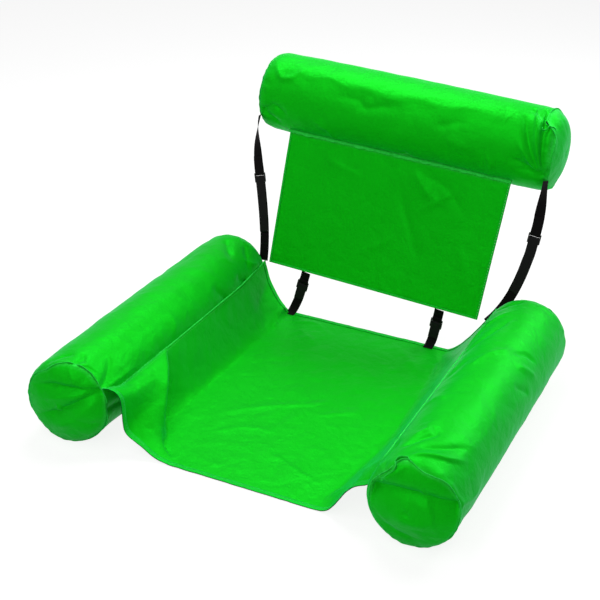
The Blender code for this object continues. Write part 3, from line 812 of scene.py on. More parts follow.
@dataclass(frozen=True)
class Moulded:
    """Moulded plastic or vinyl with a faint grain, scuffs that vary its shine, and paler worn edges."""

    name: str
    colour: tuple[float, float, float, float]
    worn: tuple[float, float, float, float]
    roughness: float
    grain: float = 0.00008
    specular: float = 0.45

    def material(self) -> bpy.types.Material:
        """Build the material."""
        material, g, shader = start_material(self.name)
        place = place_in_object(g)
        pointed = g.node("ShaderNodeNewGeometry").outputs["Pointiness"]
        edge = g.ramp(pointed, 0.52, 0.62, 0.0, 0.5)
        shade = g.group(
            Effects.fade, Place=place, Colour=self.colour, Worn=self.worn, Mottle=0.18, Wear=edge
        )
        g.feed(shader.inputs["Base Color"], shade.outputs["Colour"])
        speck = g.noise(place, 1400.0, 2.0, 0.6)
        g.feed(shader.inputs["Normal"], bump(g, speck, self.grain, 0.5))
        scuffs = g.noise(place, 90.0, 3.0, 0.6)
        rough = g.ramp(scuffs, 0.3, 0.7, self.roughness - 0.07, self.roughness + 0.1)
        g.feed(shader.inputs["Roughness"], rough)
        shader.inputs["Specular IOR Level"].default_value = self.specular
        return material


@dataclass(frozen=True)
class AirFilm:
    """Clear greyish vinyl film of the air bladders."""

    name: str
    colour: tuple[float, float, float, float]

    def material(self) -> bpy.types.Material:
        """Build the material."""
        material, g, shader = start_material(self.name)
        place = place_in_object(g)
        shade = g.group(
            Effects.fade, Place=place, Colour=self.colour, Worn=(0.9, 0.92, 0.93, 1.0),
            Mottle=0.06, Wear=wear_of(g),
        )
        g.feed(shader.inputs["Base Color"], shade.outputs["Colour"])
        crease = g.group(Effects.crinkle, Place=place, Scale=24.0, Sharpness=0.7)
        g.feed(shader.inputs["Normal"], bump(g, crease.outputs["Height"], 0.0012, 0.6))
        g.feed(shader.inputs["Roughness"], g.ramp(crease.outputs["Height"], 0.0, 1.0, 0.16, 0.30))
        shader.inputs["Transmission Weight"].default_value = 0.35
        shader.inputs["IOR"].default_value = 1.45
        return material


class Finishes:
    """Every material of the lounger, built once."""

    cover: bpy.types.Material
    hem: bpy.types.Material
    shadow: bpy.types.Material
    thread: bpy.types.Material
    pale_thread: bpy.types.Material
    webbing: bpy.types.Material
    tail: bpy.types.Material
    plastic: bpy.types.Material
    film: bpy.types.Material
    vinyl: bpy.types.Material

    @classmethod
    def build(cls) -> None:
        """Make every material."""
        green = (0.0050, 0.560, 0.006, 1.0)
        pale = (0.05, 0.80, 0.11, 1.0)
        # Painted shadow colours: a near-black green, and a paler tone of it where the wear attribute is high,
        # for the edges of hemmed sheets, standing in for the shade under the hems.
        painted_shadow_green = (0.001, 0.055, 0.004, 1.0)
        paler_painted_shadow_green = (0.002, 0.09, 0.006, 1.0)
        black = (0.0028, 0.0018, 0.0024, 1.0)
        faded_black = (0.014, 0.012, 0.014, 1.0)
        cls.cover = CoatedCloth("green_cover_cloth", green, pale).material()
        cls.hem = CoatedCloth("green_hem_cloth", (0.006, 0.565, 0.022, 1.0), pale, 0.50, 0.14).material()
        # Painted shadow: the near-black green cloth that hang gives to sheet edges as a line of shade.
        cls.shadow = CoatedCloth("painted_shadow_hem_edge", painted_shadow_green, paler_painted_shadow_green, 0.6).material()
        cls.thread = Moulded("green_thread", (0.05, 0.62, 0.09, 1.0), (0.2, 0.8, 0.25, 1.0), 0.7).material()
        cls.pale_thread = Moulded(
            "pale_thread", (0.50, 0.90, 0.52, 1.0), (0.7, 0.95, 0.7, 1.0), 0.7
        ).material()
        cls.webbing = Webbing("black_webbing", black, faded_black).material()
        cls.tail = Webbing("greyed_webbing", (0.013, 0.011, 0.013, 1.0), (0.04, 0.038, 0.04, 1.0)).material()
        cls.plastic = Moulded(
            "black_moulded_plastic", (0.004, 0.004, 0.0045, 1.0), (0.02, 0.02, 0.02, 1.0), 0.55, specular=0.25
        ).material()
        cls.film = AirFilm("clear_air_film", (0.70, 0.77, 0.80, 1.0)).material()
        cls.vinyl = Moulded(
            "white_valve_vinyl", (0.78, 0.80, 0.80, 1.0), (0.9, 0.9, 0.9, 1.0), 0.32
        ).material()


def dress(piece: bpy.types.Object, slot: Slot, *materials: bpy.types.Material) -> None:
    """Give a piece its materials."""
    piece.data.materials.clear()
    for each in materials:
        piece.data.materials.append(each)


def hang(
    piece: bpy.types.Object,
    body: str,
    material: bpy.types.Material,
    wall: float = 0.0,
    side: float = 0.0,
    shadow_rim: bool = False,
    slot: Slot = Slot.COVER,
) -> bpy.types.Object:
    """Give a piece its thickness and material, and hang it on its body.

    Args:
        piece: the piece.
        body: the body it rides on.
        material: its material.
        wall: thickness of a sheet, or 0 for a solid piece.
        side: the wall goes inwards (-1), both ways (0) or outwards (1).
        shadow_rim: whether the sheet's edge gets the painted shadow, a line that stands in for the shade
            under hems.
        slot: the record's material slot.

    Returns:
        The piece.
    """
    if wall:
        sheet = piece.modifiers.new("wall", "SOLIDIFY")
        sheet.thickness = wall
        sheet.offset = side
        sheet.use_even_offset = False
        # The sheet's edge takes the second material, a painted shadow line that stands in for the shade under
        # the hem.
        sheet.material_offset_rim = int(shadow_rim)
    dress(piece, slot, material, *([Finishes.shadow] if shadow_rim else []))
    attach(piece, body)
    return piece


def dress_node(name: str, material: bpy.types.Material, bevel: float) -> None:
    """Give a carried-over CAD node its material and soften its edges."""
    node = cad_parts[name]
    for index in range(len(node.data.materials)):
        node.data.materials[index] = material
    if bevel:
        soften = node.modifiers.new("edges", "BEVEL")
        soften.width = bevel
        soften.segments = 2
        soften.limit_method = "ANGLE"
        soften.angle_limit = math.radians(40)


# Stitches

@dataclass(frozen=True)
class Stitching:
    """A row of thread stitches that lies on cloth."""

    length: float = 0.0040
    gap: float = 0.0030
    radius: float = 0.00045
    sink: float = 0.0002

    def template(self) -> tuple[Array, Array]:
        """Points (run, up, across) and faces of one stitch, a spindle that dips into the cloth."""
        sides = 6
        rings = ((-0.5, 0.35, -0.9), (-0.3, 0.9, 0.1), (0.3, 0.9, 0.1), (0.5, 0.35, -0.9))
        points = []
        for along, size, lift in rings:
            for k in range(sides):
                angle = math.tau * k / sides
                up = self.radius * (lift + size * math.sin(angle))
                points.append((along * self.length, up, self.radius * size * math.cos(angle)))
        faces = grid_faces(len(rings), sides, True).tolist()
        faces.append(list(range(sides)))
        faces.append(list(range((len(rings) - 1) * sides, len(rings) * sides))[::-1])
        return np.array(points), faces

    def sew(
        self, name: str, lines: Sequence[tuple[Array, Array]], thread: bpy.types.Material
    ) -> bpy.types.Object:
        """Sew stitches along lines on the cloth.

        Args:
            name: the piece's name.
            lines: pairs of line points and the cloth's outward normals there.
            thread: the thread's material.

        Returns:
            One piece with all the stitches.
        """
        shape, faces = self.template()
        points = []
        corners = []
        for line, normals in lines:
            places, index = resample(line, self.length + self.gap, self.length)
            up = unit(at_index(normals, index))
            run = unit(np.gradient(places, axis=0))
            across = np.cross(run, up)
            for k in range(len(places)):
                base = len(points) * len(shape)
                turn = np.stack([run[k], up[k], across[k]])
                points.append(places[k] + shape @ turn - up[k] * self.sink)
                corners.extend([[base + i for i in face] for face in faces])
        piece = make_object(name, np.concatenate(points), corners)
        write_wear(piece, np.zeros(len(piece.data.vertices)))
        dress(piece, Slot.COVER, thread)
        return piece


# Bolsters

@dataclass(frozen=True)
class ArmSeam:
    """Course of the seat's seam on an arm's sleeve: (place along the arm, degrees above its middle)."""

    side: Side
    knots: tuple[tuple[float, float], ...]

    def rise_at(self, along: Array) -> Array:
        """Angle of the seam above the arm's middle height, in radians."""
        places = [place for place, _ in self.knots]
        angles = [angle for _, angle in self.knots]
        blurred = [np.interp(along + blur, places, angles) for blur in (-0.012, -0.006, 0.0, 0.006, 0.012)]
        return np.radians(np.mean(blurred, axis=0))

    def turn_at(self, along: Array) -> Array:
        """Angle of the seam round the arm's own axis, measured from +X."""
        rise = self.rise_at(along)
        return rise if self.side is Side.LEFT else math.pi - rise

    def place_at(self, along: Array, reach: float) -> tuple[Array, Array]:
        """Places (x, z) of the seam at a distance from the arm's axis."""
        rise = self.rise_at(along)
        x = self.side.value * (ARM_CENTRE - reach * np.cos(rise))
        return x, ARM_AXIS_HEIGHT + reach * np.sin(rise)


LEFT_SEAM = ArmSeam(Side.LEFT, LEFT_SEAM_ANGLES)
RIGHT_SEAM = ArmSeam(Side.RIGHT, RIGHT_SEAM_ANGLES)


@dataclass(frozen=True)
class SeamCourse:
    """How far an end seam is drawn towards the middle of the bolster, as (degrees, metres) in order."""

    knots: tuple[tuple[float, float], ...] = ()

    def pull_at(self, angles: Array) -> Array:
        """Pull at angles round the bolster, in radians."""
        if not self.knots:
            return np.zeros_like(angles)
        places = np.radians([angle for angle, _ in self.knots])
        pulls = np.array([pull for _, pull in self.knots])
        total = np.zeros_like(angles)
        for blur in np.radians([-4.0, 0.0, 4.0]):
            total += np.interp(angles + blur, places, pulls, period=math.tau) / 3
        return total


@dataclass(frozen=True)
class StandingFold:
    """A narrow strip of sewn cloth that stands up from a bolster along a crooked line.

    line is in the bolster's own metres (x, along, z).
    """

    line: tuple[tuple[float, float, float], ...]
    height: float
    ruffle: float
    seed: int

    def grid(self) -> tuple[Array, Array]:
        """Points of the strip and places on its flat cloth."""
        draw = np.random.default_rng(self.seed)
        path = along_line(self.line, np.linspace(0.0, 1.0, 60))
        reach = reach_along(path)
        out = unit(path * np.array([1.0, 0.0, 1.0]) + np.array([0.0, -0.02, 0.0]))
        across = unit(np.cross(unit(np.gradient(path, axis=0)), out))
        sway = waver(reach, draw, 0.012, 0.03, 3)
        ends = smooth(np.minimum(reach, reach[-1] - reach) / 0.006)
        steps = np.array([-0.8, 0.0, 0.5, 0.85, 1.0])
        rise = steps[:, None, None] * (self.height * ends)[None, :, None]
        lean = np.maximum(steps, 0.0)[:, None, None] * (self.ruffle * sway * ends)[None, :, None]
        return path[None] + out[None] * rise + across[None] * lean, spread(reach, steps * self.height)


def on_sleeve(radius: float, *places: tuple[float, float]) -> tuple[tuple[float, float], ...]:
    """Places given as (degrees round the sleeve, along it) as places on the flat cloth."""
    return tuple((math.radians(angle) * radius, along) for angle, along in places)


@dataclass
class Bolster:
    """A cloth bolster along its own Y: sleeve, two end discs, seams, bladder and valve."""

    prefix: str
    disc_names: tuple[str, str]
    body: str
    radius: float
    length: float
    place: Matrix
    seed: int
    held_course: Callable[[Array], Array]
    held_reach: float
    dip_depth: float = 0.0018
    dip_reach: float = 0.012
    rests: bool = False
    folds: tuple[Fold, ...] = ()
    plain_disc_folds: tuple[Fold, ...] = ()
    valve_disc_folds: tuple[Fold, ...] = ()
    standing_folds: tuple[StandingFold, ...] = ()
    plain_seam: SeamCourse = SeamCourse()
    valve_seam: SeamCourse = SeamCourse()
    columns: int = 96
    rows: int = 92
    rings: int = 14
    deepest: float = 0.0100
    gathers: int = 18
    gather_depth: float = 0.0044
    seam_lift: float = 0.0018

    def build(self) -> None:
        """Make every visible piece of the bolster and hang it on its body."""
        grid = self.start_grid()
        grid = Inflation().run(grid, self.held_points())
        plain = refine(grid[: self.rings + 1])
        sleeve = refine(grid[self.rings: self.rings + self.rows + 1])
        valve = refine(grid[self.rings + self.rows:])
        sleeve = self.crease_sleeve(sleeve)
        plain = self.crease_disc(plain, -1, self.plain_disc_folds)
        valve = self.crease_disc(valve[::-1], 1, self.valve_disc_folds)
        self.add_sleeve(sleeve)
        self.add_disc(self.disc_names[0], plain, -1)
        self.add_disc(self.disc_names[1], valve, 1)
        for end, ring in ((-1, sleeve[0]), (1, sleeve[-1])):
            self.add_end_seam(end, ring)
        for number, fold in enumerate(self.standing_folds, 1):
            self.add_standing_fold(number, fold)
        self.add_bladder()
        self.dress_valve()

    def angles(self, columns: int) -> Array:
        """Angles of the columns round the bolster."""
        return (np.arange(columns) + 0.5 * columns / self.columns) * math.tau / columns

    def rows_along(self) -> Array:
        """Places of the sleeve's rows along the bolster, closer together near the ends."""
        share = np.linspace(-1, 1, self.rows + 1)
        return self.length / 2 * (1.25 * share - 0.25 * share ** 3)

    def round_cloth(self, columns: int) -> Array:
        """Places of the columns round the flat cloth, with the first one again at the end."""
        return np.arange(columns + 1) * math.tau * self.radius / columns

    def seam_height(self, end: int, angles: Array) -> Array:
        """How far an end seam is drawn towards the middle at each angle."""
        draw = np.random.default_rng(self.seed + 50 + end)
        total = (self.plain_seam if end < 0 else self.valve_seam).pull_at(angles)
        for k in range(2, 7):
            total = total + 0.0009 * np.sin(k * angles + draw.uniform(0, math.tau)) / math.sqrt(k)
        return total

    def start_grid(self) -> Array:
        """Points of both discs and the sleeve before the air goes in, from the plain end to the valve."""
        angles = self.angles(self.columns)
        along = self.rows_along()[:, None]
        pulls = {end: self.seam_height(end, angles)[None, :] for end in (-1, 1)}
        near = {end: np.exp(-((self.length / 2 - end * along) / 0.060) ** 2) for end in (-1, 1)}
        place = along + near[-1] * pulls[-1] - near[1] * pulls[1]
        from_end = self.length / 2 - np.abs(place)
        into = np.clip(1.0 - from_end / END_ROUNDING, 0.0, 1.0)
        radii = self.radius - END_DRAW_IN * (1.0 - np.sqrt(1.0 - into * into))
        blocks = [self.start_disc(-1, pulls[-1], radii[:1], 0.05)]
        blocks.append((radii, place, np.broadcast_to(self.length / 2 - np.abs(along), radii.shape)))
        blocks.append(self.start_disc(1, pulls[1], radii[-1:], VALVE_HOLE / (self.radius - END_DRAW_IN)))
        radii, places, distance = (np.concatenate([block[k] for block in blocks]) for k in range(3))
        radii = radii - self.gathered(angles, distance[:, 0], np.sign(places[:, 0] + 1e-9))
        points = np.stack([radii * np.cos(angles), places, radii * np.sin(angles)], axis=-1)
        outward = round_out(angles)[None]
        slack = Ripple(0.0007, 0.090, self.seed, 5).raise_at(points, 0.2)
        fade = smooth(distance / 0.02)
        return points + (slack * fade)[..., None] * outward

    def start_disc(self, end: int, pull: Array, rim: Array, inner: float) -> tuple[Array, Array, Array]:
        """Radii, places along the bolster and distances from the seam of an end disc's rings.

        Args:
            end: -1 for the plain end, 1 for the valve's.
            pull: how far the seam is drawn in, for each column.
            rim: radius of the seam, for each column.
            inner: radius of the innermost ring, as a share of the rim's.

        Returns:
            Three grids of shape (rings, columns), in the order in which the whole cover's rows run.
        """
        share = np.linspace(inner, 1.0, self.rings + 1)[:-1, None]
        radii = rim * share
        places = end * (self.length / 2 + END_BULGE * (1.0 - share ** 2) - pull * share ** 6)
        distance = (1.0 - share) * rim
        if end > 0:
            return radii[::-1], places[::-1], distance[::-1]
        return radii, places, distance

    def gathered(self, angles: Array, distance: Array, ends: Array) -> Array:
        """Depth of the gathers that both end seams draw into the cloth.

        Args:
            angles: angles of the columns.
            distance: distance of each row from its end seam.
            ends: which end each row belongs to, -1 or 1.

        Returns:
            Depths, of shape (rows, columns).
        """
        depth = np.zeros((len(distance), len(angles)))
        for end in (-1, 1):
            draw = np.random.default_rng(self.seed + 7 * end + 20)
            rows = (ends == end)[:, None]
            for k in range(self.gathers):
                centre = math.tau * (k + draw.uniform(0.1, 0.9)) / self.gathers
                deep = self.gather_depth * draw.uniform(0.3, 1.0)
                width = draw.uniform(0.005, 0.010)
                reach = draw.uniform(0.018, 0.065)
                slant = draw.uniform(-1.0, 1.0)
                away = half_turn(angles[None, :] - centre + slant * distance[:, None])
                breadth = width + 0.12 * distance[:, None]
                shape = np.exp(-(away * self.radius / breadth) ** 2)
                rise = smooth(distance[:, None] / 0.016)
                depth += rows * deep * shape * rise * np.exp(-(distance[:, None] / reach) ** 2)
        return depth

    def held_points(self) -> Array:
        """Points that seams and neighbours hold while the air goes in."""
        held = np.zeros((2 * self.rings + self.rows + 1, self.columns))
        held[self.rings] = 1.0
        held[self.rings + self.rows] = 1.0
        held[0] = 0.5
        held[-1] = 1.0
        along = self.rows_along()
        inside = np.nonzero(np.abs(along) < self.held_reach)[0]
        course = self.held_course(along[inside])
        column = np.round(course / math.tau * self.columns - 0.5).astype(int) % self.columns
        held[self.rings + inside, column] = 1.0
        return held

    def crease_sleeve(self, points: Array) -> Array:
        """Add the sleeve's own folds and the slack cloth's ripples."""
        angles = self.angles(points.shape[1])
        middle = np.mean(points[:, :, 1], axis=1)
        round_it = np.broadcast_to(angles * self.radius, points.shape[:2])
        flat = np.stack([round_it, points[:, :, 1]], axis=-1)
        normals = grid_normals(points, True, round_out(angles)[None])
        lift = lift_of(self.folds, flat, math.tau * self.radius) + self.seam_dip(angles, points[:, :, 1])
        lift = np.maximum(lift, -self.deepest)
        lift += Ripple(0.0005, 0.080, self.seed + 1, 7).raise_at(points, 0.6)
        lift += Ripple(0.00010, 0.018, self.seed + 2, 8).raise_at(points, 0.5)
        fade = smooth((self.length / 2 - np.abs(middle)) / 0.008)[:, None]
        return self.rested(points + normals * (lift * fade)[..., None])

    def seam_dip(self, angles: Array, along: Array) -> Array:
        """Depth to which the neighbouring cloth's seam draws in the sleeve along its own course."""
        course = self.held_course(along)
        away = half_turn(angles[None, :] - course)
        inside = smooth((self.held_reach + 0.004 - np.abs(along)) / 0.008)
        return -self.dip_depth * np.exp(-np.abs(away * self.radius) / self.dip_reach) * inside

    def crease_disc(self, points: Array, end: int, folds: Sequence[Fold]) -> Array:
        """Add an end disc's folds; its points run from the middle to the seam."""
        lift = lift_of(folds, points[:, :, [0, 2]])
        lift += Ripple(0.0006, 0.070, self.seed + 11 + end, 6).raise_at(points, 0.5)
        reach = np.linspace(0.0, 1.0, len(points))
        fade = (smooth((1.0 - reach) / 0.06) * smooth((reach + 0.02) / 0.1))[:, None]
        points = points.copy()
        points[:, :, 1] += end * lift * fade
        return self.rested(points)

    def rested(self, points: Array) -> Array:
        """Points kept above the floor where the bolster rests on it."""
        if self.rests:
            points[:, :, 2] = np.maximum(points[:, :, 2], -ARM_AXIS_HEIGHT + FLOOR_GAP)
        return points

    def finish_cover(self, piece: bpy.types.Object, node: str) -> None:
        """Wall, material, body and node of a piece of the cover."""
        hang(piece, self.body, Finishes.cover, CLOTH, -1.0)
        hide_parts(node)

    def add_sleeve(self, points: Array) -> None:
        """The sleeve's cloth."""
        columns = points.shape[1]
        along = np.concatenate([points[:, :, 1], points[:, :1, 1]], axis=1)
        flat = np.stack([np.broadcast_to(self.round_cloth(columns), along.shape), along], axis=-1)
        wear = 0.55 * np.exp(-np.maximum(self.length / 2 - np.abs(points[:, :, 1]), 0.0) / 0.004)
        outward = round_out(self.angles(columns))[None] @ np.array(self.place)[:3, :3].T
        name = self.prefix + "_sleeve"
        piece = grid_piece(name + "_cloth", placed(points, self.place), flat, True, wear, outward)
        self.finish_cover(piece, name)

    def add_disc(self, node: str, points: Array, end: int) -> None:
        """An end disc's cloth, closed in the middle unless the valve stands there."""
        columns = points.shape[1]
        if end < 0:
            middle = np.mean(points[0], axis=0)
            points = np.concatenate([np.broadcast_to(middle, (1, columns, 3)), points])
        flat = np.concatenate([points[:, :, [0, 2]], points[:, :1, [0, 2]]], axis=1)
        reach = np.linspace(0.0, 1.0, len(points))[:, None]
        wear = np.broadcast_to(0.55 * smooth((reach - 0.93) / 0.07), points.shape[:2])
        axis = np.array(self.place)[:3, 1] * end
        piece = grid_piece(node + "_cloth", placed(points, self.place), flat, True, wear, axis)
        if end < 0:
            close_ends(piece, columns)
        self.finish_cover(piece, node)
        if end > 0:
            self.add_valve_binding(node, points[0])

    def add_valve_binding(self, node: str, ring: Array) -> None:
        """A turned and stitched edge round the valve's opening."""
        columns = len(ring)
        sides = 8
        size = 0.0009
        out = unit(ring * np.array([1.0, 0.0, 1.0]))
        turn = np.arange(sides)[:, None, None] * math.tau / sides
        tube = (
            ring[None] + out[None] * (size * (1.6 + np.cos(turn)))
            + np.array([0.0, 1.0, 0.0]) * (size * np.sin(turn))
        )
        tube = np.concatenate([tube, tube[:1]])
        flat = spread(np.arange(columns + 1) * 0.0005, np.arange(sides + 1) * 0.0007)
        piece = grid_piece(node + "_valve_binding", placed(tube, self.place), flat, True)
        close_ends(piece, columns)
        hang(piece, self.body, Finishes.hem)

    def add_end_seam(self, end: int, ring: Array) -> None:
        """The ruffled seam allowance that stands out where a disc is sewn into the sleeve."""
        draw = np.random.default_rng(self.seed + 90 + end)
        columns = len(ring)
        angles = self.angles(columns)
        ruffle = np.zeros(columns)
        height = np.full(columns, self.seam_lift)
        for k in (7, 11, 16, 23, 31):
            ruffle += 0.0003 * np.sin(k * angles + draw.uniform(0, math.tau))
            height += 0.0002 * np.sin(k * angles + draw.uniform(0, math.tau))
        if self.rests:
            height *= 0.35 + 0.65 * smooth((np.sin(angles) + 0.75) / 0.5)
        steps = np.array([-0.3, 0.3, 0.7, 1.0])
        rise = steps[:, None, None] * height[None, :, None]
        lean = np.maximum(steps, 0.0)[:, None, None] * (ruffle + 0.5 * end * self.seam_lift)[None, :, None]
        points = self.rested(ring[None] + round_out(angles) * rise + np.array([0.0, 1.0, 0.0]) * lean)
        flat = spread(self.round_cloth(columns), steps * self.seam_lift)
        wear = np.broadcast_to(np.array([0.0, 0.3, 0.7, 1.0])[:, None], (4, columns))
        name = f"{self.prefix}_{'valve' if end > 0 else 'plain'}_end_seam"
        hang(grid_piece(name, placed(points, self.place), flat, True, wear), self.body, Finishes.hem, 0.0011)

    def add_standing_fold(self, number: int, fold: StandingFold) -> None:
        """One strip of sewn cloth that stands up from the cover."""
        points, flat = fold.grid()
        wear = np.broadcast_to(np.array([0.0, 0.1, 0.3, 0.7, 1.0])[:, None], points.shape[:2])
        name = f"{self.prefix}_standing_fold_{number}"
        hang(grid_piece(name, placed(points, self.place), flat, False, wear), self.body, Finishes.hem, 0.0010)

    def add_bladder(self) -> None:
        """The air bladder: a film tube with domed ends, welded rings and a patch at the valve."""
        columns = 64
        side = self.radius - FILM_CLEARANCE
        shoulder = self.length / 2 - END_ROUNDING - DOME_LENGTH
        top = self.length / 2 - 0.001 + END_BULGE - CLOTH - 0.001 - 0.002
        plain_top = top - PLAIN_DOME_DROP
        turn = np.linspace(0.0, math.pi / 2, 12)[:-1]
        bend = np.sin(turn) ** 2
        dome = side * np.cos(turn)
        middle = np.linspace(-shoulder, shoulder, 60)[1:-1]
        plain_dome = (shoulder + (plain_top - shoulder) * bend)[::-1]
        radii = np.concatenate([[0.0006], dome[::-1], np.full(len(middle), side), dome])
        heights = np.concatenate([[-plain_top], -plain_dome, middle, shoulder + (top - shoulder) * bend])
        keep = radii > VALVE_PATCH
        keep[: len(dome) + 2] = True
        radii = np.concatenate([radii[keep], [VALVE_PATCH, VALVE_NECK + TOUCH_GAP]])[:, None]
        heights = np.concatenate([heights[keep], [top, top]])
        angles = np.arange(columns) * math.tau / columns
        weld = sum(np.exp(-((heights - place) / 0.004) ** 2) for place in (-shoulder, shoulder))
        inner = radii - WELD_DEPTH * weld[:, None] * (radii > 0.05)
        domed = smooth((np.abs(heights) - shoulder + 0.05) / 0.05)[:, None]
        puckered = inner + WELD_DEPTH * np.cos(9 * angles)[None, :] * domed - WELD_DEPTH
        inner = np.where(radii > 0.03, puckered, inner)
        points = round_out(angles)[None] * inner[..., None]
        outward = points @ np.array(self.place)[:3, :3].T
        points[:, :, 1] = heights[:, None]
        flat = spread(np.arange(columns + 1) * math.tau * side / columns, heights)
        near_weld = np.exp(-((np.abs(heights) - shoulder) / 0.004) ** 2)
        wear = np.broadcast_to(near_weld[:, None], inner.shape)
        name = self.prefix + "_bladder"
        piece = grid_piece(name + "_film", placed(points, self.place), flat, True, wear, outward)
        close_ends(piece, columns, 0)
        hang(piece, self.body, Finishes.film, FILM, -1.0, slot=Slot.FILM)
        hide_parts(name)

    def dress_valve(self) -> None:
        """Finish the valve's stem and plug, which keep their CAD shapes."""
        dress_node(self.prefix + "_valve_stem", Finishes.vinyl, 0.0003)
        dress_node(self.prefix + "_valve_plug", Finishes.vinyl, 0.0004)


# Seat

@dataclass(frozen=True)
class Slope:
    """How the seat cloth falls from an arm's seam to the floor.

    runs and handles shape the fall at the front, the middle and the rear. hem is the fall's line
    (x, z) at the front hem, from the seam down.
    """

    seam: ArmSeam
    runs: tuple[float, float, float]
    handles: tuple[tuple[tuple[float, float], tuple[float, float]], ...]
    hem: tuple[tuple[float, float], ...]

    def curve(self, y: Array, weights: Sequence[Array], t: Array) -> Array:
        """Points of the fall.

        Args:
            y: place of each row, of shape (rows, 1).
            weights: shares of the front, middle and rear shapes, each of shape (rows, 1).
            t: place along the fall from the seam, of shape (1, columns).

        Returns:
            Points (x, z), of shape (rows, columns, 2).
        """
        seam_x, seam_z = self.seam.place_at(y, ARM_RADIUS - SEAM_SINK)
        side = self.seam.side.value
        run = SEAT_SLOPE_RUN * sum(w * value for w, value in zip(weights, self.runs))
        across = [0.0, 0.0, 0.0, run]
        height = [seam_z, 0.0, 0.0, 0.0]
        for handle in range(2):
            out = sum(w * station[handle][0] for w, station in zip(weights, self.handles))
            up = sum(w * station[handle][1] for w, station in zip(weights, self.handles))
            across[handle + 1] = run * out
            height[handle + 1] = seam_z * up
        s = 1.0 - t
        blend = (s ** 3, 3 * s * s * t, 3 * s * t * t, t ** 3)
        x = seam_x - side * sum(b * a for b, a in zip(blend, across))
        z = sum(b * h for b, h in zip(blend, height))
        return np.stack([x, z], axis=-1)

    def held_to_seam(self, points: Array, y: Array, t: Array) -> Array:
        """Points shifted near the seam so that their first column lies on it."""
        seam = np.stack(self.seam.place_at(y, ARM_RADIUS - SEAM_SINK), axis=-1)
        return points + (seam - points[:, :1]) * ((1.0 - t) ** 3)[..., None]


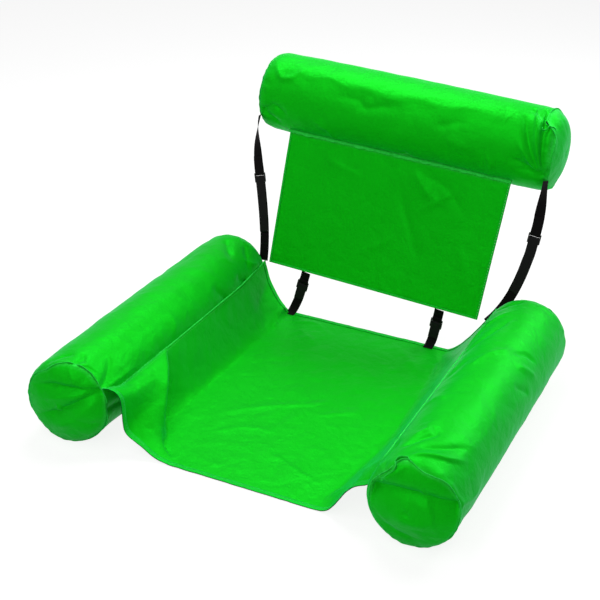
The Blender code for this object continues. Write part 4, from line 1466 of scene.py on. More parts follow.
@dataclass
class SeatCloth:
    """The seat: a sheet sewn to both arms that falls to the floor and lies flat between them.

    Beside the left arm's front the cloth stands up in one tall fold, whose crest runs from the seam
    to the floor.
    """

    left: Slope
    right: Slope
    crest: tuple[tuple[float, float, float], ...]
    flank: tuple[float, float] = (0.016, 0.100)
    hem_reach: float = 0.110
    slope_columns: int = 48
    flat_columns: int = 56
    rows: int = 190
    folds: tuple[Fold, ...] = ()

    def shares(self) -> Array:
        """Places of the rows from front to rear, closer at the hems."""
        depth = SEAT_REAR - SEAT_FRONT
        hem = np.array([0.0, 0.002, 0.005, 0.0085, HEM_WIDTH]) / depth
        middle = np.linspace(hem[-1], 1.0 - hem[-1], self.rows)
        return np.concatenate([hem[:-1], middle, 1.0 - hem[:-1][::-1]])

    def left_fall(self, y: Array, share: Array, t: Array) -> Array:
        """The left slope, with the tall fold in front."""
        rear = smooth((share - 0.40) / 0.60)
        behind = self.left.curve(y, (0.0 * rear, 1.0 - rear, rear), t)
        crest = along_line(self.crest, t[0])
        hem = along_line(self.left.hem, t[0])
        mix = np.clip((y - SEAT_FRONT) / (crest[None, :, 1] - SEAT_FRONT), 0.0, 1.0) ** (1.0 + 2.2 * t ** 5)
        risen = 1.0 - (1.0 - mix) ** (1.0 + 0.8 * np.sin(math.pi * t))
        mix = np.stack([mix, risen], axis=-1)
        ahead = hem[None] * (1.0 - mix) + crest[None][..., [0, 2]] * mix
        ahead = self.left.held_to_seam(ahead, y, t)
        fall = self.flank[0] + self.flank[1] * t ** 3
        over = smooth((y - crest[None, :, 1]) / fall)[..., None]
        points = ahead * (1.0 - over) + behind * over
        relax(points, 2)
        return self.left.held_to_seam(points, y, t)

    def right_fall(self, y: Array, share: Array, t: Array) -> Array:
        """The right slope, whose front hem is drawn up to the arm's front end."""
        front = 1.0 - smooth(share / 0.40)
        rear = smooth((share - 0.40) / 0.60)
        points = self.right.curve(y, (front, (1.0 - front) * (1.0 - rear), (1.0 - front) * rear), t)
        hem = self.right.held_to_seam(along_line(self.right.hem, t[0])[None] + 0 * points, y, t)
        own = smooth((y - SEAT_FRONT) / self.hem_reach)[..., None]
        return hem * (1.0 - own) + points * own

    def base_grid(self) -> Array:
        """The sheet's underside as sewn, before wrinkles."""
        share = self.shares()[:, None]
        depth = SEAT_REAR - SEAT_FRONT
        y = SEAT_FRONT + depth * share
        t = np.linspace(0.0, 1.0, self.slope_columns)[None, :]
        left = self.left_fall(y, share, t)
        right = self.right_fall(y, share, t)[:, ::-1]
        mix = np.linspace(0.0, 1.0, self.flat_columns + 1)[None, 1:-1, None]
        flat = left[:, -1:] * (1 - mix) + right[:, :1] * mix
        both = np.concatenate([left, flat, right], axis=1)
        lift = np.minimum(both[..., 1] / 0.12, 1.0)
        place = y - SEAT_FRONT_BOW * (1.0 - share) * (1.0 - lift)
        return np.stack([both[..., 0], place, both[..., 1]], axis=-1)

    def flat_grid(self, points: Array) -> Array:
        """Places on the flat cloth, measured along each row."""
        steps = np.linalg.norm(np.diff(points, axis=1), axis=2)
        along = np.concatenate([np.zeros((len(points), 1)), np.cumsum(steps, axis=1)], axis=1)
        along -= along[:, -1:] / 2
        return np.stack([along, points[:, :, 1]], axis=-1)

    def wrinkle(self, points: Array) -> Array:
        """Add the folds and ripples; the cloth stays on the floor and on its seams."""
        normals = grid_normals(points, False, np.array([0.0, 0.0, 1.0]))
        slack = Ripple(0.0009, 0.095, 31, 7).raise_at(points, 0.5)
        fine = Ripple(0.00022, 0.026, 32, 8).raise_at(points, 0.5)
        lift = lift_of(self.folds, points[:, :, :2]) + slack + fine + 0.0006
        columns = np.linspace(0.0, 1.0, points.shape[1])
        held = smooth(np.minimum(columns, 1.0 - columns) / 0.02)
        points = points + normals * (lift * held[None, :])[..., None]
        points[:, :, 2] = np.maximum(points[:, :, 2], FLOOR_GAP)
        return points

    def build(self) -> None:
        """Make the sheet, its hems, seams and stitches."""
        base = self.base_grid()
        points = self.wrinkle(base)
        flat = self.flat_grid(points)
        up = np.array([0.0, 0.0, 1.0])
        from_side = np.minimum(flat[:, :, 0] - flat[:, :1, 0], flat[:, -1:, 0] - flat[:, :, 0])
        from_end = np.minimum(points[:, :, 1] - SEAT_FRONT, SEAT_REAR - points[:, :, 1])
        wear = 0.7 * np.exp(-np.maximum(from_side, 0) / 0.003)
        wear += 0.1 * np.exp(-np.maximum(from_end, 0) / 0.003)
        sheet = grid_piece("seat_cloth", points, flat, False, np.clip(wear, 0, 1), up)
        hang(sheet, "seat", Finishes.cover, SEAT_CLOTH, 1.0, True)
        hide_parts("seat_panel")
        normals = grid_normals(points, False, up)
        for name, rows in (("seat_front_hem", slice(0, 5)), ("seat_rear_hem", slice(-5, None))):
            lifted = points[rows] + normals[rows] * (SEAT_CLOTH + 0.0001)
            hem = grid_piece(name, lifted, flat[rows], False, np.full(lifted.shape[:2], 0.10), up)
            hang(hem, "seat", Finishes.hem, 0.0009, 1.0, True)
        hem_lines = [(points[row] + normals[row] * 0.0020, normals[row]) for row in (3, -4)]
        seam_lines = [(points[:, k] + normals[:, k] * 0.0010, normals[:, k]) for k in (2, -3)]
        for name, lines in (("seat_hem_stitches", hem_lines), ("seat_seam_stitches", seam_lines)):
            stitches = Stitching().sew(name, lines, Finishes.thread)
            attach(stitches, "seat")
        for side, column in ((Side.LEFT, 0), (Side.RIGHT, -1)):
            self.add_side_seam(side, points[:, column], normals[:, column])

    def add_side_seam(self, side: Side, line: Array, normals: Array) -> bpy.types.Object:
        """The raised, slightly ruffled seam where the seat is sewn to an arm's sleeve."""
        sides = 10
        draw = np.random.default_rng(60 + side.value)
        run = unit(np.gradient(line, axis=0))
        across = np.cross(run, normals) * -side.value
        along = line[:, 1]
        tall = 0.0024 + 0.0003 * waver(along, draw, 0.012, 0.040, 4)
        turn = np.arange(sides) * math.tau / sides
        points = (
            line[:, None] + normals[:, None] * (tall[:, None] * np.sin(turn) + 0.0006)[..., None]
            + across[:, None] * (0.0016 * np.cos(turn))[None, :, None]
        )
        wear = np.broadcast_to(0.6 + 0.4 * np.maximum(np.sin(turn), 0)[None], points.shape[:2])
        flat = spread(np.arange(sides + 1) * 0.0008, along)
        piece = grid_piece(f"seat_{side.name.lower()}_seam", points, flat, True, wear)
        close_ends(piece, sides, 0, len(line) - 1)
        return hang(piece, "seat", Finishes.hem)


# Backrest

def backrest_matrix() -> Matrix:
    """Place and turn of the backrest's own frame, which stands on the recline axis."""
    level = Matrix.Rotation(BACK_YAW, 4, "Z") @ Matrix.Rotation(BACK_ROLL, 4, "Y")
    return Matrix.Translation(AXIS_PLACE) @ level @ Matrix.Rotation(-BACK_LEAN, 4, "X")


@dataclass
class BackPanel:
    """The hemmed panel from the recline axis up to the headrest, with its wavy top seam."""

    columns: int = 110
    rows: int = 64
    folds: tuple[Fold, ...] = ()

    def height(self) -> float:
        """Height of the top edge, where the panel's plane meets the headrest's sleeve."""
        return HEADREST_HEIGHT - math.sqrt((HEADREST_RADIUS - BACK_TOP_SINK) ** 2 - HEADREST_SETBACK ** 2)

    def base_grid(self) -> Array:
        """The panel in its own frame: x across, y to the rear, z up."""
        top = self.height()
        hem = np.array([0.0, 0.0015, 0.0035, BACK_HEM])
        v = np.concatenate([hem[:-1], np.linspace(hem[-1], top - TOUCH_GAP, self.rows)]) / (top - TOUCH_GAP)
        side = hem / BACK_TOP_WIDTH
        inner = np.linspace(side[-1], 1 - side[-1], self.columns)
        u = np.concatenate([side[:-1], inner, 1 - side[:-1][::-1]])
        u, v = np.meshgrid(u, v)
        width = BACK_FOOT_WIDTH + (BACK_TOP_WIDTH - BACK_FOOT_WIDTH) * v
        billow = BACK_BILLOW * np.sin(math.pi * v) * np.sin(math.pi * u)
        return np.stack([(u - 0.5) * width, billow, TOUCH_GAP + (top - TOUCH_GAP) * v], axis=-1)

    def wrinkle(self, points: Array) -> Array:
        """Add folds, slack and the puckers under the top seam."""
        top = self.height()
        lift = lift_of(self.folds, points[:, :, [0, 2]])
        lift += Ripple(0.0008, 0.16, 41, 6).raise_at(points, 0.3)
        lift += Ripple(0.00012, 0.026, 42, 8).raise_at(points, 0.4)
        from_top = top - points[:, :, 2]
        pucker = np.zeros(points.shape[:2])
        draw = np.random.default_rng(43)
        for _ in range(16):
            centre = draw.uniform(-0.29, 0.29)
            slant = draw.uniform(-0.5, 0.5)
            width = draw.uniform(0.006, 0.012)
            reach = draw.uniform(0.02, 0.07)
            away = points[:, :, 0] - centre - slant * from_top
            narrow = np.exp(-(away / (width + 0.15 * from_top)) ** 2)
            pucker += draw.uniform(-1, 1) * narrow * np.exp(-from_top / reach)
        lift += 0.0022 * pucker
        edge = smooth(from_top / 0.004) * smooth((points[:, :, 2] + 0.004) / 0.02)
        wave = 0.0012 * np.sin(points[:, :, 0] * math.tau / 0.09 + 1.3) * np.exp(-from_top / 0.05)
        points = points.copy()
        points[:, :, 1] -= lift * edge + wave
        return points

    def build(self) -> None:
        """Make the panel, its hems, top seam and stitches."""
        matrix = np.array(backrest_matrix())
        points = self.wrinkle(self.base_grid())
        flat = points[:, :, [0, 2]]
        world = placed(points, matrix)
        forward = -matrix[:3, 1]
        rows, columns = world.shape[:2]
        wear = np.zeros((rows, columns))
        wear[:, [0, -1]] = 0.3
        wear[-3:] = np.array([0.2, 0.6, 0.9])[:, None]
        sheet = grid_piece("back_panel_cloth", world, flat, False, wear, forward)
        hang(sheet, "backrest", Finishes.cover, BACK_CLOTH, 0.0, True)
        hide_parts("back_panel")
        normals = grid_normals(world, False, forward)
        whole = slice(None)
        for name, part in (
            ("back_left_hem", (whole, slice(0, 4))),
            ("back_right_hem", (whole, slice(-4, None))),
            ("back_foot_hem", (slice(0, 4), slice(3, -3))),
        ):
            for face, ending in ((1, ""), (-1, "_rear")):
                lifted = world[part] + normals[part] * (0.00055 * face)
                tone = np.full(lifted.shape[:2], 0.12)
                hem = grid_piece(name + ending, lifted, flat[part], False, tone, forward * face)
                hang(hem, "backrest", Finishes.hem, 0.0007, 1.0, True)
        left, foot, top, right = (whole, 2), (2, slice(3, -3)), (-3, whole), (whole, -3)
        lines = [(world[part] + normals[part] * lift, normals[part]) for part, lift in (
            (left, 0.0012), (foot, 0.0012), (top, 0.0008), (right, 0.0012),
        )]
        for name, sewn, thread in (
            ("back_panel_stitches", lines[:3], Finishes.thread),
            ("back_right_stitches", lines[3:], Finishes.pale_thread),
        ):
            stitches = Stitching().sew(name, sewn, thread)
            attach(stitches, "backrest")
        self.add_top_seam(world[-1], normals[-1], matrix[:3, 2])
        round(self.height(), 2)

    def add_top_seam(self, line: Array, normals: Array, up: Array) -> bpy.types.Object:
        """The seam allowance along the panel's top, lying under the headrest in small ruffles."""
        draw = np.random.default_rng(44)
        along = np.linalg.norm(line - line[0], axis=1)
        steps = np.array([-0.4, 0.2, 0.7, 1.0])
        height = (0.0055 + 0.0007 * waver(along, draw, 0.02, 0.06, 4))[None, :, None]
        drop = up * (-0.0035 - steps[:, None, None] * height)
        stand = 0.0012 + np.maximum(steps, 0)[:, None, None] * 0.0034
        points = line[None] + drop + normals[None] * stand
        wear = np.broadcast_to(np.array([0.4, 0.8, 0.9, 1.0])[:, None], points.shape[:2])
        piece = grid_piece(
            "back_top_seam", points, spread(along, -0.005 * steps), False, wear, normals[None]
        )
        return hang(piece, "backrest", Finishes.hem, 0.0009)


# Straps

def bezier(points: Sequence[Vector], t: float) -> Vector:
    """Point at t on a cubic curve with four points."""
    a, b, c, d = points
    s = 1.0 - t
    return a * s ** 3 + b * 3 * s * s * t + c * 3 * s * t * t + d * t ** 3


@dataclass
class StrapPath:
    """A strap's middle line from its foot to its top, measured along its length.

    The curve runs straight through the slider and eases back to its own course beyond it.
    """

    curve: list[Vector]
    twist: Callable[[float], float]
    slider_at: float | None = None
    steps: int = 60
    lengths: list[float] = field(default_factory=list)

    def __post_init__(self) -> None:
        """Measure the curve."""
        self.lengths = [0.0]
        for k in range(self.steps):
            step = bezier(self.curve, (k + 1) / self.steps) - bezier(self.curve, k / self.steps)
            self.lengths.append(self.lengths[-1] + step.length)

    @property
    def length(self) -> float:
        """Length from foot to top."""
        return self.lengths[-1]

    def free_frame(self, along: float) -> tuple[Vector, Vector, Vector]:
        """Middle point, run and width direction on the smooth curve itself."""
        inside = min(max(along, 0.0), self.length)
        k = min(sum(1 for length in self.lengths[1:] if length < inside), self.steps - 1)
        part = (inside - self.lengths[k]) / (self.lengths[k + 1] - self.lengths[k])
        t = (k + part) / self.steps
        near = 1.0 / self.steps
        run = (bezier(self.curve, min(t + near, 1.0)) - bezier(self.curve, max(t - near, 0.0))).normalized()
        point = bezier(self.curve, t) + run * (along - inside)
        across = Vector((1, 0, 0))
        width = (across - run * across.dot(run)).normalized()
        width = Matrix.Rotation(self.twist(inside / self.length), 3, run) @ width
        return point, run, width

    def frame(self, along: float) -> tuple[Vector, Vector, Vector, Vector]:
        """Middle point, run, face normal and width direction at a length along the strap."""
        point, run, width = self.free_frame(along)
        if self.slider_at is not None:
            away = abs(along - self.slider_at) / SLIDER_HEIGHT
            own = float(smooth((away - 1.0) / 1.5))
            middle, straight, flat = self.free_frame(self.slider_at)
            point = (middle + straight * (along - self.slider_at)).lerp(point, own)
            run = straight.lerp(run, own).normalized()
            width = flat.lerp(width, own)
            width = (width - run * run.dot(width)).normalized()
        return point, run, run.cross(width), width


@dataclass
class Strap:
    """A strap in three pieces: upper webbing on the slider, lower strand, and its loose tail."""

    prefix: str
    path: StrapPath
    slider_at: float
    lap: float
    tail: float
    holder: str
    slider_body: str
    matrix: Matrix
    foot_share: float = 0.0
    upper_steps: int = 40
    lower_steps: int = 36
    turn_steps: int = 10

    def turn_round(self, bar: float, going_up: bool) -> list[tuple[float, float]]:
        """Stations of webbing round a slider's bar."""
        way = 1.0 if going_up else -1.0
        edge = bar + way * SLIDER_BAR / 2
        stations = []
        for k in range(self.turn_steps + 1):
            angle = math.pi * k / self.turn_steps
            stations.append((edge + way * LOOP_REACH * math.sin(angle), BAR_WRAP * math.cos(angle)))
        return stations

    def upper_stations(self) -> list[tuple[float, float]]:
        """Stations from the top down, round the slider's top bar and back up."""
        top_bar = self.slider_at + BAR_PITCH
        free_end = top_bar + self.lap
        count = self.upper_steps
        free = self.path.length - free_end
        stations = [(self.path.length - free * k / count, PLY_GAP) for k in range(count + 1)]
        approach = 6
        for k in range(1, approach + 1):
            along = free_end + (top_bar + SLIDER_BAR - free_end) * k / approach
            stations.append((along, PLY_GAP + (BAR_WRAP - PLY_GAP) * float(smooth(k / approach))))
        stations += self.turn_round(top_bar, False)
        for k in range(approach + 1):
            along = top_bar + SLIDER_BAR + (free_end - top_bar - SLIDER_BAR) * k / approach
            stations.append((along, -BAR_WRAP + (BAR_WRAP - PLY_GAP) * float(smooth(k / approach))))
        return stations

    def lower_stations(self) -> tuple[list[tuple[float, float]], list[tuple[float, float]]]:
        """Stations of the lower strand up to the slider, and of the tail from there."""
        below = self.slider_at - BAR_PITCH
        count = self.lower_steps
        strand = []
        for k in range(count + 1):
            along = (below - SLIDER_BAR) * k / count
            near = (along / below - 0.60) / 0.40
            strand.append((along, PLY_GAP + (BAR_WRAP - PLY_GAP) * float(smooth(near))))
        strand.append((below, BAR_WRAP))
        tail = [(below, BAR_WRAP)] + self.turn_round(self.slider_at, True) + [(below, -BAR_WRAP)]
        for k in range(1, count + 1):
            along = below - SLIDER_BAR - (self.tail - SLIDER_BAR) * (k - 1) / (count - 1)
            tail.append((along, -BAR_WRAP - WEB_THICKNESS * math.sin(math.pi * k / count)))
        return strand, tail

    def ribbon(
        self, name: str, stations: list[tuple[float, float]], finish: bpy.types.Material | None = None
    ) -> bpy.types.Object:
        """One layer of webbing with rounded selvedges, through stations along the strap."""
        half = WEB_WIDTH / 2
        thick = WEB_THICKNESS / 2
        edge = [(half, 0.0), (half - 0.0003, 0.8), (half - 0.001, 1.0), (half * 0.5, 0.86)]
        face = [(-a, b) for a, b in edge] + [(0.0, 0.86)] + edge[:0:-1]
        outline = [(a, b * thick) for a, b in face + [(-a, -b) for a, b in face]]
        points = []
        reach = []
        for k, (along, height) in enumerate(stations):
            before = stations[max(k - 1, 0)]
            after = stations[min(k + 1, len(stations) - 1)]
            middle, run, normal, width = self.path.frame(along)
            heading = Vector((after[0] - before[0], after[1] - before[1])).normalized()
            lift = normal * heading.x - run * heading.y
            centre = middle + normal * height
            points.append([tuple(self.matrix @ (centre + width * a + lift * b)) for a, b in outline])
            step = math.hypot(along - before[0], height - before[1])
            reach.append((reach[-1] if reach else 0.0) + step)
        grid = np.array(points)
        flat = spread(np.array([a for a, _ in outline + outline[:1]]), np.array(reach))
        wear = np.broadcast_to(np.array([0.6 * (abs(a) > half - 0.0005) for a, _ in outline]), grid.shape[:2])
        piece = grid_piece(name, grid, flat, True, wear)
        close_ends(piece, len(outline), 0, len(stations) - 1)
        dress(piece, Slot.WEBBING, finish or Finishes.webbing)
        return piece

    def world(self, along: float) -> Vector:
        """Place of the strap's middle line in the lounger's frame."""
        return self.matrix @ self.path.frame(along)[0]

    def build(self) -> None:
        """Make the three pieces and finish the slider."""
        self.path.slider_at = self.slider_at
        lap_end = self.slider_at + BAR_PITCH + self.lap
        upper = self.ribbon(self.prefix + "_upper_web", self.upper_stations())
        top = self.path.length - 0.004
        self.world(top)
        self.world(lap_end)
        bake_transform(upper)
        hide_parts(self.prefix + "_upper")
        strand_stations, tail_stations = self.lower_stations()
        split = round(self.foot_share * self.lower_steps)
        joint = self.world(strand_stations[split][0])
        if split:
            foot = self.ribbon(self.prefix + "_foot_web", strand_stations[:split + 1])
            self.world(0.0)
            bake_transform(foot)
        strand = self.ribbon(self.prefix + "_lower_web", strand_stations[split:])
        below = self.slider_at - BAR_PITCH - SLIDER_BAR
        self.world(below)
        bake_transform(strand)
        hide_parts(self.prefix + "_lower")
        tail = self.ribbon(self.prefix + "_tail_web", tail_stations, Finishes.tail)
        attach(tail, self.slider_body)
        dress_node(self.prefix + "_slider", Finishes.plastic, 0.0006)


def side_strap(side: Side, slider_height: float, shares: Sequence[tuple[float, float]]) -> Strap:
    """A long strap from the panel's foot corner up to the headrest's end seam.

    Args:
        side: which side it is on.
        slider_height: height of the slider above the recline axis.
        shares: places of the curve's lower points, as shares of the top's (across, up).

    Returns:
        The strap, ready to build.
    """
    sign = side.value
    reach = HEADREST_RADIUS - END_DRAW_IN + WEB_WIDTH * 0.28
    span = HEADREST_LENGTH / 2 + SIDE_STRAP_STANDOFF
    top = Vector((
        sign * span,
        HEADREST_SETBACK + reach * math.cos(SIDE_STRAP_ANGLE),
        HEADREST_HEIGHT + reach * math.sin(SIDE_STRAP_ANGLE),
    ))
    lower = [Vector((sign * span * across, top.y * up, top.z * up)) for across, up in shares]

    def twist(share: float) -> float:
        """Turn of the webbing about its run."""
        return sign * SIDE_STRAP_TWIST * float(smooth((share - 0.68) / 0.32))

    path = StrapPath([lower[2], lower[1], lower[0], top], twist)
    slider_at = next(length for length in path.lengths if path.frame(length)[0].z > slider_height)
    strand = slider_at - BAR_PITCH - SLIDER_BAR
    tail_end = strand - (SIDE_TAIL_LENGTH - SLIDER_BAR)
    name = side.name.lower()
    return Strap(
        f"{name}_side_strap", path, slider_at, SIDE_LAP_LENGTH, SIDE_TAIL_LENGTH,
        "backrest", f"{name}_side_slider", backrest_matrix(), max(tail_end / strand, 0.3),
    )


def seat_strap(side: Side, foot: float, top: float) -> Strap:
    """A short strap from the seat's rear hem up to the back panel's foot, at given places across."""
    axis_point = backrest_matrix() @ Vector((top - AXIS_PLACE[0], 0, 0))
    lie = SEAT_CLOTH + TOUCH_GAP + WEB_THICKNESS + PLY_GAP
    stand = SEAT_REAR + BAR_WRAP
    curve = [
        Vector((foot, SEAT_REAR - SEAT_STRAP_HEM_LAP, lie)),
        Vector((foot, stand + BAR_WRAP, lie)),
        Vector((foot + (top - foot) / 3, axis_point.y + BAR_WRAP, lie + SEAT_SLIDER_DROP / 2)),
        Vector((top, axis_point.y, axis_point.z - WEB_THICKNESS - PLY_GAP)),
    ]
    path = StrapPath(curve, lambda share: 0.0)
    name = side.name.lower()
    return Strap(
        f"{name}_seat_strap", path, path.length - SEAT_SLIDER_DROP, SEAT_LAP_LENGTH, SEAT_TAIL_LENGTH,
        "seat", f"{name}_seat_slider", Matrix.Identity(4),
    )


# Studio

def seen_directly(g: Graph) -> bpy.types.NodeSocket:
    """1 where the camera, gloss or glass sees the surface, 0 for the light it bounces."""
    path = g.node("ShaderNodeLightPath")
    seen = g.math("MAXIMUM", path.outputs["Is Camera Ray"], path.outputs["Is Glossy Ray"])
    return g.math("MAXIMUM", seen, path.outputs["Is Transmission Ray"])


@dataclass(frozen=True)
class Studio:
    """Pale floor, soft lamps, white surroundings and the camera at the photographed angle."""

    camera_place: tuple[float, float, float] = (1.0409, -2.258, 1.5437)
    azimuth: float = 0.4409
    elevation: float = 0.4735
    roll: float = 0.0205
    focal_pixels: float = 1254.6
    image_pixels: float = 600.0
    sensor: float = 36.0
    fill: float = 0.12
    lamp_distance: float = 3.0
    lamp_size: float = 1.5
    lamps: tuple[tuple[str, float, float, float], ...] = (
        ("key_lamp", 62.0, 120.0, 50.0),
        ("rear_lamp", 38.0, 58.0, 46.0),
        ("front_left_lamp", 62.0, 240.0, 18.0),
        ("front_lamp", 38.0, 270.0, 16.0),
    )

    def build(self) -> None:
        """Make everything."""
        self.add_camera()
        self.add_world()
        self.add_lamps()
        self.add_floor()
        bpy.context.scene.view_settings.view_transform = "Standard"

    def add_camera(self) -> None:
        """Camera with the photograph's place, turn and angle of view."""
        az, el = self.azimuth, self.elevation
        back = Vector((math.sin(az) * math.cos(el), -math.cos(az) * math.cos(el), math.sin(el)))
        right = Vector((math.cos(az), math.sin(az), 0.0))
        up = back.cross(right)
        level = Matrix((right, up, back)).transposed()
        turn = level @ Matrix.Rotation(self.roll, 3, "Z")
        data = bpy.data.cameras.new("photo_camera")
        data.sensor_width = self.sensor
        data.lens = self.focal_pixels / self.image_pixels * self.sensor
        camera = bpy.data.objects.new("photo_camera", data)
        camera.matrix_world = Matrix.Translation(self.camera_place) @ turn.to_4x4()
        bpy.context.scene.collection.objects.link(camera)
        bpy.context.scene.camera = camera

    def add_world(self) -> None:
        """Soft grey fill that the camera, gloss and glass see as white."""
        world = bpy.data.worlds.new("white_surroundings")
        bpy.context.scene.world = world
        world.use_nodes = True
        world.node_tree.nodes.clear()
        g = Graph(world.node_tree)
        seen = seen_directly(g)
        fill = g.node("ShaderNodeBackground")
        fill.inputs["Strength"].default_value = self.fill
        white = g.node("ShaderNodeBackground")
        white.inputs["Color"].default_value = (1.0, 1.0, 1.0, 1.0)
        mixed = g.node("ShaderNodeMixShader")
        g.feed(mixed.inputs["Fac"], seen)
        g.feed(mixed.inputs[1], fill.outputs[0])
        g.feed(mixed.inputs[2], white.outputs[0])
        output = g.node("ShaderNodeOutputWorld")
        g.feed(output.inputs["Surface"], mixed.outputs[0])

    def add_lamps(self) -> None:
        """Square soft lamps, each given by its elevation, heading from +X and power."""
        middle = Vector((0.0, 0.05, 0.2))
        for name, elevation, heading, power in self.lamps:
            data = bpy.data.lights.new(name, "AREA")
            data.energy = power
            data.size = self.lamp_size
            rise, turn = math.radians(elevation), math.radians(heading)
            way = Vector((math.cos(rise) * math.cos(turn), math.cos(rise) * math.sin(turn), math.sin(rise)))
            lamp = bpy.data.objects.new(name, data)
            facing = way.to_track_quat("Z", "Y").to_matrix().to_4x4()
            lamp.matrix_world = Matrix.Translation(middle + way * self.lamp_distance) @ facing
            bpy.context.scene.collection.objects.link(lamp)

    def add_floor(self) -> None:
        """Pale floor that stays near white and keeps the object's shadow."""
        size = 30.0
        corners = np.array([(-size, -size, 0), (size, -size, 0), (size, size, 0), (-size, size, 0)])
        floor = make_object("studio_floor", corners - np.array([0, 0, 0.0006]), [(0, 1, 2, 3)])
        material = bpy.data.materials.new("pale_floor")
        material.use_nodes = True
        material.node_tree.nodes.clear()
        g = Graph(material.node_tree)
        seen = seen_directly(g)
        lit = g.node("ShaderNodeBsdfDiffuse")
        g.feed(lit.inputs["Color"], g.mix(seen, (0.80, 0.80, 0.80, 1.0), (0.22, 0.22, 0.22, 1.0)))
        glow = g.node("ShaderNodeEmission")
        g.feed(glow.inputs["Strength"], g.math("MULTIPLY", seen, 0.87))
        both = g.node("ShaderNodeAddShader")
        g.feed(both.inputs[0], lit.outputs[0])
        g.feed(both.inputs[1], glow.outputs[0])
        output = g.node("ShaderNodeOutputMaterial")
        g.feed(output.inputs["Surface"], both.outputs[0])
        floor.data.materials.append(material)


# The lounger's pieces

def left_arm() -> Bolster:
    """The arm bolster on the left."""
    r = ARM_RADIUS
    folds = (
        Fold(on_sleeve(r, (92, 0.350), (76, 0.310), (52, 0.262)), -0.0075, 0.014),
        Fold(on_sleeve(r, (50, 0.305), (30, 0.330), (20, 0.371)), 0.0050, 0.009, 0.3),
        Fold(on_sleeve(r, (66, 0.372), (50, 0.335), (22, 0.292)), -0.0050, 0.010),
        Fold(on_sleeve(r, (34, 0.245), (22, 0.262), (17, 0.280)), -0.0060, 0.012, 0.0, AT_END),
        Fold(on_sleeve(r, (44, 0.140), (26, 0.158), (17, 0.170)), -0.0045, 0.011, 0.0, AT_END),
        Fold(on_sleeve(r, (84, -0.372), (66, -0.352), (44, -0.340)), 0.0020, 0.007, 0.4),
        Fold(on_sleeve(r, (29, -0.366), (40, -0.318), (62, -0.270)), -0.0040, 0.012, 0.0, AT_START),
        Fold(on_sleeve(r, (108, -0.368), (98, -0.345), (88, -0.338)), -0.0034, 0.006, 0.0, AT_START),
        Fold(on_sleeve(r, (76, -0.366), (74, -0.340), (84, -0.315)), -0.0036, 0.007, 0.0, AT_START),
        Fold(on_sleeve(r, (27, -0.362), (24, -0.300), (26, -0.215)), 0.0034, 0.008, 0.3, AT_START),
        Fold(on_sleeve(r, (0, -0.362), (-6, -0.300), (-4, -0.240)), -0.0060, 0.014, 0.0, AT_START),
        Fold(on_sleeve(r, (17, -0.080), (34, -0.050), (62, -0.045)), 0.0028, 0.012),
        Fold(on_sleeve(r, (120, -0.200), (100, -0.050), (92, 0.120)), 0.0016, 0.022),
        Fold(on_sleeve(r, (126, 0.100), (112, 0.200), (118, 0.300)), -0.0022, 0.018),
    )
    disc_folds = (
        Fold(((-0.078, 0.034), (-0.010, 0.050), (0.040, 0.049), (0.080, 0.045)), -0.0150, 0.012, 0.2, AT_END),
        Fold(((-0.066, 0.006), (0.000, 0.028), (0.045, 0.039), (0.080, 0.044)), 0.0060, 0.010, 0.0, AT_END),
        Fold(
            ((-0.072, -0.040), (0.000, -0.008), (0.040, 0.018), (0.080, 0.042)), -0.0130, 0.014, 0.3, AT_END
        ),
        Fold(((-0.030, -0.062), (0.030, -0.030), (0.078, 0.020)), 0.0050, 0.014, 0.0, AT_END),
        Fold(((0.020, 0.088), (0.035, 0.066), (0.034, 0.058)), 0.0040, 0.006, 0.0, AT_START),
    )
    course = SeamCourse((
        (-180, 0.0), (-120, 0.0), (-90, 0.006), (-60, 0.020), (-31, 0.034), (0, 0.027), (17, 0.029),
        (29, 0.026), (38, 0.029), (53, 0.034), (65, 0.032), (85, 0.023), (100, 0.006), (110, 0.0),
    ))
    return Bolster(
        prefix="left_arm", disc_names=("left_arm_front_disc", "left_arm_rear_disc"), body="left_arm",
        radius=r, length=ARM_LENGTH, place=Matrix.Translation((-ARM_CENTRE, 0, ARM_AXIS_HEIGHT)), seed=11,
        held_course=LEFT_SEAM.turn_at, held_reach=0.366, rests=True, folds=folds,
        plain_disc_folds=disc_folds, plain_seam=course,
    )


